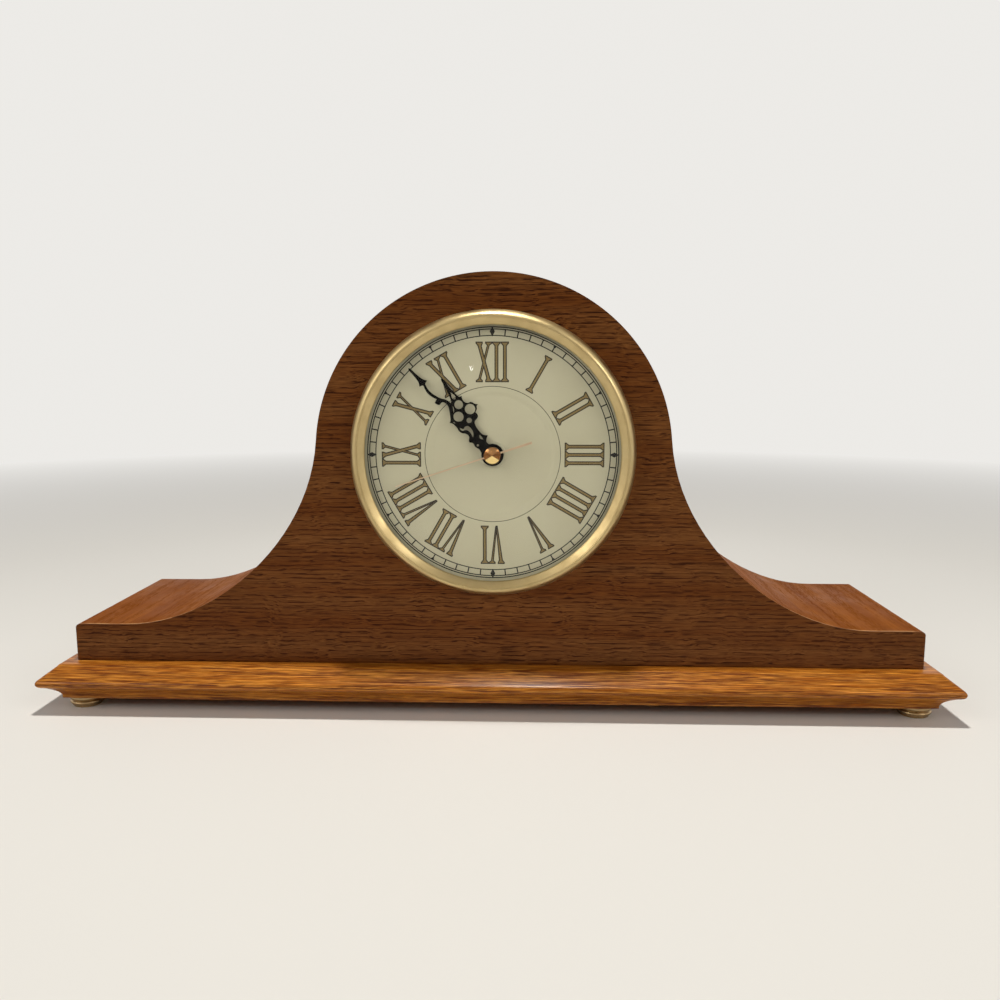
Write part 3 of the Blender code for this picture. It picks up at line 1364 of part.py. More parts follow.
# The volume and chime sliders.
for name, y in zip(("chime_slide", "volume_slide"), slider_ys):
    half_x, half_y = SLIDER_SIZE[0] / 2, SLIDER_SIZE[1] / 2
    cap_rear = movement_rear - SLIDER_HEIGHT
    slide = box(
        name, (-half_x, -half_y, cap_rear), (half_x, half_y, board_rear - RUNNING_GAP), white_plastic
    )
    cap_margin = SLIDER_SIZE[1] * 0.3
    cap = box(
        f"{name}_cap",
        (-half_x - cap_margin / 2, -half_y - cap_margin, cap_rear - GAP),
        (half_x + cap_margin / 2, half_y + cap_margin, movement_rear - GAP),
    )
    join(slide, cap)
    on_dial(slide, (slider_x, y))
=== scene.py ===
"""The looks of a tambour mantel clock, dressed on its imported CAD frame.

The clock faces -Y. The sections follow it as it is put together, from the base up, then
the dial side, the movement and the back. Lengths are in metres.
"""

import math

import bmesh
import bpy
from mathutils import Matrix, Vector
from mathutils.geometry import interpolate_bezier


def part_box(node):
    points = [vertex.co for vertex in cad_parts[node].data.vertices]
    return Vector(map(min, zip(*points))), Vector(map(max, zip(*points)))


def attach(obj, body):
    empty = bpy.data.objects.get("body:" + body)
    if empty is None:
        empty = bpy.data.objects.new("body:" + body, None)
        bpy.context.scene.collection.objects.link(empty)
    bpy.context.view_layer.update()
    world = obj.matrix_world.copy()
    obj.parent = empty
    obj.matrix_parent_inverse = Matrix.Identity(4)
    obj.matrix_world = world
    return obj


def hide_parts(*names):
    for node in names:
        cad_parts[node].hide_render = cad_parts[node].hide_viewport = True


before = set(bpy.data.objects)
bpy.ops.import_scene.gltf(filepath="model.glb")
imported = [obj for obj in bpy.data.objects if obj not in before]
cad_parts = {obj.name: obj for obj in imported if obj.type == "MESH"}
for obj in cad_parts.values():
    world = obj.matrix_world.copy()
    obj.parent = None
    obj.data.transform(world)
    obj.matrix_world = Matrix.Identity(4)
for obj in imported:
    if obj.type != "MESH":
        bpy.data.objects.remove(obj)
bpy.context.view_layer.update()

# ---------------------------------------- base board
# A solid moulded board under the whole clock, stained orange brown and lacquered to a
# gloss. Its section is cut on a spindle: a ledge, a soft shoulder, a long bevel that falls
# to a rounded nose, and a cove back to the underside.
BASE_BOTTOM = 0.006
CASE_HALF_WIDTH = 0.2155
CASE_HALF_DEPTH = 0.05
UNDERSIDE = (0.0065, 0.0012)
NOSE = (0.0131, 0.0099)
NOSE_RADIUS = 0.0022
COVE_RISE = 0.0022
COVE_RUN = 0.0022
SHOULDER = (0.0055, 0.0154)
SHOULDER_RADIUS = 0.0026
CORNER_ROUNDING = 0.0012
SCREW_SPOTS = [(x, y) for x in (-0.12, 0.12) for y in (-0.025, 0.025)]
SCREW_HEAD = 0.0045
SCREW_SHANK = 0.0021
SCREW_SINK = 0.0024
PAST_THE_TOP = 0.02
PAST_THE_BOTTOM = 0.001
LEVEL = 0.9
TINY = 1e-6


def select_only(piece):
    bpy.ops.object.select_all(action="DESELECT")
    piece.select_set(True)
    bpy.context.view_layer.objects.active = piece


def editing(piece):
    """Takes one piece, selected all over, into edit mode."""
    select_only(piece)
    bpy.context.tool_settings.mesh_select_mode = (True, False, False)
    bpy.ops.object.mode_set(mode="EDIT")
    bpy.ops.mesh.select_all(action="SELECT")


def leave_edit():
    bpy.ops.object.mode_set(mode="OBJECT")


def choose(piece, kind, test):
    """Selects, in edit mode, the vertices, edges or faces that pass the test."""
    bpy.ops.mesh.select_all(action="DESELECT")
    modes = [kind == each for each in ("verts", "edges", "faces")]
    bpy.context.tool_settings.mesh_select_mode = modes
    bm = bmesh.from_edit_mesh(piece.data)
    for item in getattr(bm, kind):
        if test(item):
            item.select_set(True)
    bm.select_flush_mode()
    bmesh.update_edit_mesh(piece.data)


def extrude(x, y, z):
    bpy.ops.mesh.extrude_region_move(TRANSFORM_OT_translate={"value": (x, y, z)})


def tidy_mesh():
    """Welds and turns outwards the mesh that is being edited."""
    bpy.ops.mesh.select_all(action="SELECT")
    bpy.ops.mesh.remove_doubles(threshold=TINY)
    bpy.ops.mesh.normals_make_consistent(inside=False)


def settle(piece, where=None):
    """Moves a piece's own place and turn, or those of a matrix, into its mesh."""
    if where:
        piece.matrix_world = where
    select_only(piece)
    bpy.ops.object.transform_apply(location=True, rotation=True, scale=True)
    return piece


def primitive(shape, scale=(1, 1, 1), turn=0.0, **size):
    """A plain mesh that is stretched, and turned about Z."""
    getattr(bpy.ops.mesh, f"primitive_{shape}_add")(**size)
    piece = bpy.context.object
    piece.scale = scale
    piece.rotation_euler.z = turn
    return settle(piece)


def modify(piece, kind, **settings):
    """Puts one modifier on a piece and applies it."""
    modifier = piece.modifiers.new(kind, kind)
    for setting, value in settings.items():
        setattr(modifier, setting, value)
    bpy.context.view_layer.objects.active = piece
    bpy.ops.object.modifier_apply(modifier=modifier.name)


def cut(piece, cutter):
    """Takes the shape of a cutter out of a piece."""
    modify(piece, "BOOLEAN", object=cutter, operation="DIFFERENCE")
    bpy.data.objects.remove(cutter)


def smooth(piece, angle=40):
    select_only(piece)
    bpy.ops.object.shade_smooth_by_angle(angle=math.radians(angle))


def paint(piece, material):
    piece.data.materials.clear()
    piece.data.materials.append(material)


def dress(piece, name, material, body, slot, *replaced):
    """Names a finished piece, gives it its finish, and hangs it on its body."""
    piece.name = name
    piece.data.name = name
    paint(piece, material)
    if replaced:
        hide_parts(*replaced)
    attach(piece, body)


def srgb(red, green, blue):
    """A colour given in 8-bit steps, as linear values."""
    return tuple((channel / 255) ** 2.2 for channel in (red, green, blue)) + (1.0,)


def fill(target, inputs):
    """Gives a node's sockets the values or the links that they take."""
    for socket, value in inputs.items():
        if isinstance(value, bpy.types.NodeSocket):
            target.id_data.links.new(value, target.inputs[socket])
        else:
            target.inputs[socket].default_value = value


def node(kind, inputs, **settings):
    """Adds a shader node to the tree that its links come from."""
    links = [value for value in inputs.values() if isinstance(value, bpy.types.NodeSocket)]
    new = links[0].id_data.nodes.new("ShaderNode" + kind)
    for setting, value in settings.items():
        setattr(new, setting, value)
    fill(new, inputs)
    return new


def maths(operation, first, second=0.0):
    """The result of a Math node."""
    return node("Math", {0: first, 1: second}, operation=operation).outputs[0]


def vector_maths(operation, first, second=(0, 0, 0)):
    """The result of a Vector Math node."""
    made = node("VectorMath", {0: first, 1: second}, operation=operation)
    return made.outputs["Value" if operation == "LENGTH" else "Vector"]


def part(vector, axis):
    """One coordinate of a vector."""
    return node("SeparateXYZ", {"Vector": vector}).outputs[axis]


def mapped(vector, turn):
    """A vector turned about the origin."""
    return node("Mapping", {"Vector": vector, "Rotation": turn}).outputs[0]


def blend_colour(share, first, second):
    """Two colours mixed by a share. Each is a link, or a triple in 8-bit steps."""
    pair = [
        colour if isinstance(colour, bpy.types.NodeSocket) else srgb(*colour)
        for colour in (first, second)
    ]
    mix = node("Mix", {"Factor": share, 6: pair[0], 7: pair[1]}, data_type="RGBA")
    return mix.outputs[2]


def span(value, low, high, to_low=0.0, to_high=1.0, ramp="LINEAR"):
    """A value moved from one range to another, and held inside it."""
    ends = {"From Min": low, "From Max": high, "To Min": to_low, "To Max": to_high}
    return node("MapRange", {"Value": value, **ends}, interpolation_type=ramp).outputs["Result"]


def noise(vector, stretch, detail=2.0, roughness=0.5):
    """Noise whose coordinates are multiplied by a stretch first."""
    if isinstance(stretch, float):
        stretch = (stretch, stretch, stretch)
    scaled = vector_maths("MULTIPLY", vector, stretch)
    settings = {"Vector": scaled, "Scale": 1.0, "Detail": detail, "Roughness": roughness}
    return node("TexNoise", settings).outputs["Fac"]


def new_group(name, sizes, outputs):
    """A node group for a vector and sizes, with its inputs and its output node."""
    group = bpy.data.node_groups.new(name, "ShaderNodeTree")
    sockets = group.interface
    sockets.new_socket("Vector", in_out="INPUT", socket_type="NodeSocketVector")
    for label, size in sizes.items():
        socket = sockets.new_socket(label, in_out="INPUT", socket_type="NodeSocketFloat")
        socket.default_value = size
    for label in outputs:
        sockets.new_socket(label, in_out="OUTPUT", socket_type="NodeSocketFloat")
    return group, group.nodes.new("NodeGroupInput").outputs, group.nodes.new("NodeGroupOutput")


def new_material(name, roughness, metallic=0.0):
    """A material, its Principled shader and its Object coordinates."""
    material = bpy.data.materials.new(name)
    material.use_nodes = True
    nodes = material.node_tree.nodes
    shader = nodes["Principled BSDF"]
    fill(shader, {"Roughness": roughness, "Metallic": metallic})
    return material, shader, nodes.new("ShaderNodeTexCoord").outputs["Object"]


def bump(shader, height, distance, strength=1.0):
    relief = node("Bump", {"Height": height, "Distance": distance, "Strength": strength})
    fill(shader, {"Normal": relief.outputs["Normal"]})


# Open-pored wood: broad bands of growth, fine fibre along X, and short dark pores that lie
# end to end in wavering rows.
WOOD_SIZES = {
    "Band Width": 0.006, "Pore Width": 0.0005, "Pore Length": 0.005, "Row Gap": 0.0024,
    "Waver": 0.0015, "Evenness": 0.0,
}
BAND_STRETCH = 24.0
FIBRE_STRETCH = 45.0
ROW_STRETCH = 30.0
wood_figure, grain, figured = new_group("wood_figure", WOOD_SIZES, ("Bands", "Fibre", "Pores"))
waver = noise(grain["Vector"], (40.0, 70.0, 70.0))
lifted = maths("MULTIPLY", maths("SUBTRACT", waver, 0.5), grain["Waver"])
lift = node("CombineXYZ", {"Y": lifted, "Z": lifted}).outputs[0]
wavered = vector_maths("ADD", grain["Vector"], lift)


def per_metre(label, stretch):
    """A scale that makes features as wide as an input says, and longer along X."""
    across = maths("DIVIDE", 1.0, grain[label])
    along = maths("DIVIDE", across, stretch)
    return node("CombineXYZ", {"X": along, "Y": across, "Z": across}).outputs[0]


pore_ratio = maths("DIVIDE", grain["Pore Length"], grain["Pore Width"])
pore_field = noise(wavered, per_metre("Pore Width", pore_ratio))
scattered = span(noise(wavered, per_metre("Row Gap", ROW_STRETCH), 0.0), 0.35, 0.65)
counted = maths("DIVIDE", part(wavered, "Z"), grain["Row Gap"])
ruled = maths("MULTIPLY", maths("PINGPONG", counted, 0.5), 2.0)
rows = node("Mix", {"Factor": grain["Evenness"], "A": scattered, "B": ruled}).outputs["Result"]
crowding = span(rows, 0.0, 1.0, -0.14, 0.1)
fill(figured, {
    "Bands": noise(wavered, per_metre("Band Width", BAND_STRETCH), 3.0, 0.6),
    "Fibre": noise(wavered, per_metre("Pore Width", FIBRE_STRETCH), 3.0, 0.65),
    "Pores": span(maths("ADD", pore_field, crowding), 0.52, 0.64),
})

# Handling leaves a slow unevenness on every finish.
handling, touch, touched = new_group("handling", {"Size": 0.02}, ("Mottle",))
touches = maths("DIVIDE", 1.0, touch["Size"])
fill(touched, {"Mottle": noise(touch["Vector"], touches, 3.0, 0.55)})


def mottle(place, **size):
    """The unevenness in a material, from its coordinates."""
    return node("Group", {"Vector": place, **size}, node_tree=handling).outputs["Mottle"]


# Cut ends soak up more stain than the faces do, and show no long fibre.
END_TURN = (0.3, 0.55)
END_CALM = 0.35
END_DARKENING = 0.4
USUAL_NOISE = (0.37, 0.63)
PORE_DULLING = 0.2
FIBRE_RIDGE = 0.3
GRAIN_DEPTH = 0.00006
ALONG_X = (0.0, 0.0, 0.0)


def wood(name, turn, colours, roughness, sizes, pores, fibre, gloss=0.0, sheen=0.1):
    """A wood whose grain runs along X before the turn, in dark, middle and light colours."""
    dark, middle, light = colours
    material, shader, place = new_material(name, roughness)
    figure = node("Group", {"Vector": mapped(place, turn), **sizes}, node_tree=wood_figure).outputs
    facing = part(mapped(place.node.outputs["Normal"], turn), "X")
    end_grain = span(maths("ABSOLUTE", facing), *END_TURN)
    calm = span(end_grain, 0.0, 1.0, 1.0, END_CALM)
    banded = maths("MULTIPLY", span(figure["Bands"], *USUAL_NOISE, -0.5, 0.5), calm)
    ground = blend_colour(maths("ADD", banded, 0.5), light, middle)
    fibred = maths("MULTIPLY", span(figure["Fibre"], *USUAL_NOISE, 0.0, fibre), calm)
    soaked = maths("MULTIPLY", end_grain, END_DARKENING)
    shaded = blend_colour(maths("ADD", fibred, soaked), ground, dark)
    opened = maths("MULTIPLY", maths("MULTIPLY", figure["Pores"], pores), calm)
    dulled = span(mottle(place), 0.3, 0.7, roughness * 0.85, roughness * 1.2)
    fill(shader, {
        "Base Color": blend_colour(opened, shaded, dark),
        "Roughness": maths("ADD", dulled, maths("MULTIPLY", figure["Pores"], PORE_DULLING)),
        "Coat Weight": gloss, "Coat Roughness": 0.2, "Specular IOR Level": sheen,
    })
    ridges = maths("MULTIPLY", figure["Fibre"], FIBRE_RIDGE)
    bump(shader, maths("SUBTRACT", ridges, figure["Pores"]), GRAIN_DEPTH, 0.7)
    return material


lacquered_wood = wood(
    "lacquered_wood", ALONG_X, [(90, 40, 4), (174, 98, 24), (232, 154, 62)], 0.34,
    {"Band Width": 0.001, "Pore Width": 0.0003, "Pore Length": 0.012, "Row Gap": 0.0011,
     "Waver": 0.0008}, pores=0.85, fibre=0.85, gloss=0.22,
)


def arc(centre, radius, start, end, count):
    """Points on an arc, with both ends, for angles in degrees."""
    turns = [math.radians(start + (end - start) * i / (count - 1)) for i in range(count)]
    return [(centre[0] + radius * math.cos(a), centre[1] + radius * math.sin(a)) for a in turns]


def bezier(start, handle, end_handle, end, count):
    """Points on a curve, with both ends."""
    knots = [Vector(spot) for spot in (start, handle, end_handle, end)]
    return [tuple(spot) for spot in interpolate_bezier(*knots, count)]


nose = arc(NOSE, NOSE_RADIUS, -68, 55, 14)
shoulder = arc(SHOULDER, SHOULDER_RADIUS, 35, 90, 9)
cove_rise = (UNDERSIDE[0], UNDERSIDE[1] + COVE_RISE)
cove_run = (nose[0][0] - COVE_RUN, nose[0][1] - COVE_RUN / 3)
cove = bezier(UNDERSIDE, cove_rise, cove_run, nose[0], 10)
section = [(UNDERSIDE[0], 0.0)] + cove[:-1] + nose + shoulder

base = primitive(
    "plane", (CASE_HALF_WIDTH + section[0][0], CASE_HALF_DEPTH + section[0][0], 1),
    size=2, location=(0, 0, BASE_BOTTOM),
)
editing(base)
for (out, up), (next_out, next_up) in zip(section, section[1:]):
    extrude(0, 0, next_up - up)
    across = (CASE_HALF_WIDTH + next_out) / (CASE_HALF_WIDTH + out)
    deep = (CASE_HALF_DEPTH + next_out) / (CASE_HALF_DEPTH + out)
    bpy.ops.transform.resize(value=(across, deep, 1))
tidy_mesh()


def mitre(edge):
    """Whether an edge stands on one of the board's four corners."""
    spot = edge.verts[0].co
    run = spot - edge.verts[1].co
    slanting = abs(run.x) > TINY and abs(run.y) > TINY
    return abs(spot.x) > CASE_HALF_WIDTH and (abs(run.z) > TINY or slanting)


choose(base, "edges", mitre)
bpy.ops.mesh.bevel(offset=CORNER_ROUNDING, segments=4, affect="EDGES")
leave_edit()

for x, y in SCREW_SPOTS:
    sink = primitive(
        "cone", vertices=32, radius1=SCREW_HEAD, radius2=SCREW_SHANK, depth=SCREW_SINK,
        location=(x, y, BASE_BOTTOM + SCREW_SINK / 2),
    )
    editing(sink)
    choose(sink, "faces", lambda face: face.normal.z > LEVEL)
    extrude(0, 0, PAST_THE_TOP)
    choose(sink, "faces", lambda face: face.normal.z < -LEVEL)
    extrude(0, 0, -PAST_THE_BOTTOM)
    tidy_mesh()
    leave_edit()
    cut(base, sink)
smooth(base)
dress(base, "base_board_moulded", lacquered_wood, "clock", "lacquered_wood", "base_board")

# ---------------------------------------- feet
# Four low feet, turned from brass rod with a groove round the middle, polished, and
# screwed up into the board near its corners.
FOOT_TOP = 0.0058
FOOT_SECTION = [
    (0.0, 0.0158), (0.0012, 0.0154), (0.0016, 0.0148), (0.0016, FOOT_TOP), (0.0078, FOOT_TOP),
    (0.0083, 0.0056), (0.0085, 0.0052), (0.0085, 0.0044), (0.0083, 0.004), (0.0077, 0.0036),
    (0.0076, 0.0034), (0.0082, 0.003), (0.0084, 0.0026), (0.0084, 0.0021), (0.0081, 0.0017),
    (0.0073, 0.0014), (0.0072, 0.0003), (0.0069, 0.0), (0.0, 0.0),
]


def spun(section, steps=96, closed=False):
    """A section of (radius, height) points, drawn from the top down, spun round Z."""
    piece = primitive("plane", size=0.001)
    editing(piece)
    bpy.ops.mesh.merge(type="CENTER")
    bpy.ops.transform.translate(value=(section[0][0], 0, section[0][1]))
    for (radius, height), (next_radius, next_height) in zip(section, section[1:]):
        extrude(next_radius - radius, 0, next_height - height)
    if closed:
        choose(piece, "verts", lambda vertex: len(vertex.link_edges) == 1)
        bpy.ops.mesh.edge_face_add()
    bpy.ops.mesh.select_all(action="SELECT")
    bpy.ops.mesh.spin(steps=steps, angle=math.tau, center=(0, 0, 0), axis=(0, 0, 1))
    tidy_mesh()
    leave_edit()
    return piece


def another(piece):
    """A copy of a piece, with a mesh of its own."""
    copy = piece.copy()
    copy.data = piece.data.copy()
    bpy.context.scene.collection.objects.link(copy)
    return copy


def metal(name, colour, tarnish, roughness):
    """A metal with handling marks."""
    material, shader, place = new_material(name, roughness, 1.0)
    marks = mottle(place, Size=0.012)
    fill(shader, {
        "Base Color": blend_colour(span(marks, 0.35, 0.7, 0.0, 0.35), colour, tarnish),
        "Roughness": span(marks, 0.3, 0.7, roughness * 0.75, roughness * 1.3),
    })
    return material


foot_brass = metal("foot_brass", (184, 158, 118), (108, 86, 56), 0.28)
foot_master = spun(FOOT_SECTION, steps=64)
for end in ("front", "back"):
    for side in ("left", "right"):
        name = f"foot_{end}_{side}"
        low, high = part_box(name)
        foot = another(foot_master)
        settle(foot, Matrix.Translation(((low.x + high.x) / 2, (low.y + high.y) / 2, 0)))
        smooth(foot)
        dress(foot, f"{name}_turned", foot_brass, "clock", "brass", name)
bpy.data.objects.remove(foot_master)

# ---------------------------------------- case screws and blocks
# Zinc-plated countersunk screws hold the case down through the board. They bite into two
# glue blocks of pale softwood inside the wings.
ALONG_Y = (0.0, 0.0, math.radians(90))


def coat(material, *names):
    """Gives CAD nodes that keep their shape a finish."""
    for name in names:
        paint(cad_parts[name], material)


zinc = metal("zinc", (186, 188, 192), (120, 118, 112), 0.34)
softwood = wood(
    "softwood", ALONG_Y, [(120, 88, 54), (168, 134, 92), (196, 164, 118)], 0.62,
    {"Band Width": 0.004, "Pore Width": 0.0004}, pores=0.3, fibre=0.4,
)
coat(zinc, *[f"case_screw_{number}" for number in (1, 2, 3, 4)])
coat(softwood, "glue_block_left", "glue_block_right")

# ---------------------------------------- front
# The face of the case is a fibreboard panel with a skin of dark oak veneer, its grain
# level, open-pored and under satin lacquer. It follows the tambour line: flat wings, a long
# swoop on each side and a round crown.
FACE_Y = -0.05
CASE_BOTTOM = 0.0242
WING_Z = 0.0433
DIAL_Z = 0.1313
ARCH_RADIUS = 0.0878
ARCH_LEAN = math.radians(4.6)
TOE_X = 0.189
TOE_HANDLE = 0.0464
TOE_FLAT = 0.004
SHOULDER_HANDLE = 0.0513
END_ROUNDING = 0.002
END_PULL = 0.55
LINE_STEPS = 24
BUSH_ROOM = 0.0043
VENEER = 0.0006
VENEER_EDGE = 0.00015
STAIN_DEPTH = 0.0001
CIRCLE_PULL = 0.5523
SHARP_EDGE = math.radians(60)


def other_side(knots):
    """Knots carried over to the left, in the same order, with their handles swapped."""
    return [[Vector((-p.x, p.y)) for p in (spot, after, before)] for spot, before, after in knots]


def tambour_line(inset=0.0):
    """(place, handle before, handle after) knots of the line, from right to left."""
    radius = ARCH_RADIUS - inset
    quarter = (math.pi / 2 - ARCH_LEAN) / 2
    pull = 4 / 3 * math.tan(quarter / 4) * radius
    knots = []
    for angle in (ARCH_LEAN, ARCH_LEAN + quarter, math.pi / 2):
        spot = Vector((radius * math.cos(angle), DIAL_Z + radius * math.sin(angle)))
        along = Vector((-math.sin(angle), math.cos(angle)))
        knots.append([spot, spot - pull * along, spot + pull * along])
    falling = Vector((math.sin(ARCH_LEAN), -math.cos(ARCH_LEAN)))
    knots[0][1] = knots[0][0] + SHOULDER_HANDLE * falling
    toe = Vector((TOE_X, WING_Z - inset))
    end = Vector((CASE_HALF_WIDTH, WING_Z - inset))
    half = [[toe, toe + Vector((TOE_FLAT, 0)), toe - Vector((TOE_HANDLE, 0))]] + knots
    if inset:
        ends = [[end] * 3]
    else:
        bend = END_ROUNDING * END_PULL
        low = Vector((end.x, end.y - END_ROUNDING))
        high = Vector((end.x - END_ROUNDING, end.y))
        ends = [[low, low, low + Vector((0, bend))], [high, high + Vector((bend, 0)), high]]
    right = ends + half
    return right + other_side(right[:-1])[::-1]


def draw(name, outlines, thickness, steps=12):
    """A flat plate in XY from Bezier outlines, its edge first and then its holes."""
    curve = bpy.data.curves.new(name, "CURVE")
    curve.dimensions = "2D"
    curve.fill_mode = "BOTH"
    curve.extrude = thickness / 2
    curve.resolution_u = steps
    for outline in outlines:
        spline = curve.splines.new("BEZIER")
        spline.bezier_points.add(len(outline) - 1)
        for knot, (spot, before, after) in zip(spline.bezier_points, outline):
            knot.handle_left_type = "FREE"
            knot.handle_right_type = "FREE"
            knot.co = (*spot, 0)
            knot.handle_left = (*before, 0)
            knot.handle_right = (*after, 0)
        spline.use_cyclic_u = True
    plate = bpy.data.objects.new(name, curve)
    bpy.context.scene.collection.objects.link(plate)
    select_only(plate)
    bpy.ops.object.convert(target="MESH")
    plate = bpy.context.object
    editing(plate)
    tidy_mesh()
    leave_edit()
    return plate


def round_hole(radius, centre=(0, 0)):
    """Four knots of a circle."""
    knots = []
    for step in range(4):
        angle = step * math.pi / 2
        spot = Vector(centre) + radius * Vector((math.cos(angle), math.sin(angle)))
        along = CIRCLE_PULL * radius * Vector((-math.sin(angle), math.cos(angle)))
        knots.append([spot, spot - along, spot + along])
    return knots


def corner(x, y):
    return [Vector((x, y))] * 3


def face_viewer(piece, y, z=DIAL_Z, angle=0.0):
    """Turns a piece that was built in XY, or round Z, to face the viewer."""
    upright = Matrix.Rotation(math.pi / 2, 4, "X") @ Matrix.Rotation(angle, 4, "Z")
    settle(piece, Matrix.Translation((0, y, z)) @ upright)


def soften(piece, width):
    """Rounds the sharp edges of a piece."""
    modify(piece, "BEVEL", width=width, segments=2, limit_method="ANGLE", angle_limit=SHARP_EDGE)


def clear_flats(piece):
    """Takes the needless points out of a piece's straight edges and flat faces."""
    editing(piece)
    bpy.ops.mesh.dissolve_limited(angle_limit=math.radians(0.1))
    leave_edit()


dark_veneer = wood(
    "dark_veneer", ALONG_X, [(46, 19, 4), (117, 68, 31), (132, 84, 45)], 0.48,
    {"Band Width": 0.012, "Pore Width": 0.00034, "Pore Length": 0.014, "Row Gap": 0.0023,
     "Waver": 0.004, "Evenness": 0.85}, pores=0.85, fibre=0.55, gloss=0.04, sheen=0.06,
)
floor_line = [corner(-CASE_HALF_WIDTH, CASE_BOTTOM), corner(CASE_HALF_WIDTH, CASE_BOTTOM)]
bush_hole = round_hole(BUSH_ROOM, (0, DIAL_Z))
veneer = draw("veneer", [tambour_line() + floor_line, bush_hole], VENEER, LINE_STEPS)
face_viewer(veneer, FACE_Y + VENEER / 2, 0)
clear_flats(veneer)
soften(veneer, VENEER_EDGE)
smooth(veneer)
dress(veneer, "front_veneer_oak", dark_veneer, "clock", "dark_veneer", "front_veneer")

# The panel's ends are stained to match the hood.
fibreboard, shader, place = new_material("fibreboard", 0.7)
fuzz = noise(place, 900.0, 4.0, 0.7)
sideways = maths("ABSOLUTE", part(place, "X"))
at_end = span(sideways, CASE_HALF_WIDTH - 2 * STAIN_DEPTH, CASE_HALF_WIDTH - STAIN_DEPTH)
bare = blend_colour(fuzz, (128, 96, 62), (172, 138, 98))
stained = blend_colour(fuzz, (96, 50, 22), (128, 74, 38))
fill(shader, {"Base Color": blend_colour(at_end, bare, stained), "Specular IOR Level": 0.1})
bump(shader, fuzz, 0.00008)
coat(fibreboard, "front_panel")

# ---------------------------------------- hood and end blocks
# The hood is a strip of bent plywood, veneered in a redder, lighter brown, that runs over
# both wings and the crown. Its lacquer is rubbed through along the front edge. Two blocks
# close the case under its ends.
HOOD_THICKNESS = 0.0032
HOOD_FRONT = FACE_Y + VENEER + 0.0002
HOOD_REAR = 0.05
HOOD_EDGE = 0.0003
RUBBED_FROM = 0.0006
RUBBED_TO = 0.0012

inner_line = tambour_line(HOOD_THICKNESS)[::-1]
inner_line = [[spot, after, before] for spot, before, after in inner_line]
hood = draw("hood", [tambour_line() + inner_line], HOOD_REAR - HOOD_FRONT, LINE_STEPS)
face_viewer(hood, (HOOD_REAR + HOOD_FRONT) / 2, 0)
clear_flats(hood)
soften(hood, HOOD_EDGE)
smooth(hood)
hood_veneer = wood(
    "hood_veneer", ALONG_Y, [(84, 40, 10), (124, 68, 24), (146, 86, 34)], 0.56,
    {"Band Width": 0.009, "Pore Width": 0.0004, "Row Gap": 0.003}, pores=0.35, fibre=0.4,
    sheen=0.06,
)
coat(hood_veneer, "end_block_left", "end_block_right")


def reopen(material):
    """A finished material's shader, Object coordinates and colour, to add to it."""
    nodes = material.node_tree.nodes
    shader = nodes["Principled BSDF"]
    colour = shader.inputs["Base Color"].links[0].from_socket
    return shader, nodes["Texture Coordinate"].outputs["Object"], colour


rubbed_hood = hood_veneer.copy()
rubbed_hood.name = "rubbed_hood_veneer"
shader, place, tinted = reopen(rubbed_hood)
at_front = span(part(place, "Y"), HOOD_FRONT + RUBBED_FROM, HOOD_FRONT + RUBBED_TO, 1.0, 0.0)
patches = span(noise(place, 60.0, 4.0, 0.7), 0.4, 0.58)
worn = blend_colour(maths("MULTIPLY", at_front, patches), tinted, (190, 142, 92))
fill(shader, {"Base Color": worn})
dress(hood, "bent_top_veneered", rubbed_hood, "clock", "brown_veneer", "bent_top")

# ---------------------------------------- dial
# A printed aluminium disc, sprayed pale cream with a touch of green. The minute track is
# printed in black, and the numerals in bronze with a dark outline.
DIAL_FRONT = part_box("dial_plate")[0].y
PRINT = 0.00003
MARK_PRINT = PRINT * 1.4
PRESSED_STEP = (0.0285, 0.0312)
BOSS_STEP = (0.0062, 0.0068)
TRACK_LINES = [(0.06128, 0.06182), (0.06032, 0.0608), (0.05726, 0.05774), (0.03311, 0.03339)]
TICK_WIDTH = 0.0006
# Each small mark has its corners, its stretch, its middle, its turn and its first minute.
SMALL_MARKS = [
    (4, (0.00125, 0.0024, 1), 0.0594, 0.0, 0),
    (3, (0.0012, 0.0013, 1), 0.0601, math.pi, 5),
    (3, (0.0012, 0.0013, 1), 0.0601, math.pi, 10),
]


def from_axis(place):
    """The way from the dial's axis to a place, sideways and upwards."""
    centred = {"Vector": place, "Location": (0, 0, -DIAL_Z), "Scale": (1, 0, 1)}
    return node("Mapping", centred).outputs[0]


dial_cream, shader, place = new_material("dial_enamel", 0.42)
tone = span(mottle(place), 0.3, 0.7, 0.0, 0.6)
fill(shader, {"Base Color": blend_colour(tone, (190, 185, 158), (181, 175, 148))})
out = vector_maths("LENGTH", from_axis(place))
step_up = span(out, *PRESSED_STEP, ramp="SMOOTHSTEP")
pressed = maths("SUBTRACT", step_up, span(out, *BOSS_STEP, ramp="SMOOTHSTEP"))
spray = maths("MULTIPLY", noise(place, 1600.0), 0.03)
bump(shader, maths("ADD", pressed, spray), 0.0003)
coat(dial_cream, "dial_plate")


def ink(name, colour, roughness=0.5, metallic=0.0):
    """A printed ink that lies a little unevenly."""
    material, shader, place = new_material(name, roughness, metallic)
    thin = [min(255, channel * 1.25 + 8) for channel in colour]
    cover = span(noise(place, 2500.0), 0.45, 0.75, 0.0, 0.7)
    fill(shader, {"Base Color": blend_colour(cover, colour, thin)})
    return material


track_ink = ink("track_ink", (13, 10, 3))
outline_ink = ink("outline_ink", (34, 24, 8))
bronze_ink = ink("bronze_ink", (122, 103, 63), 0.4, 0.15)


def raise_print(piece, height=PRINT):
    """Gives a flat print its thickness, from the dial's surface up."""
    editing(piece)
    extrude(0, 0, height)
    tidy_mesh()
    leave_edit()


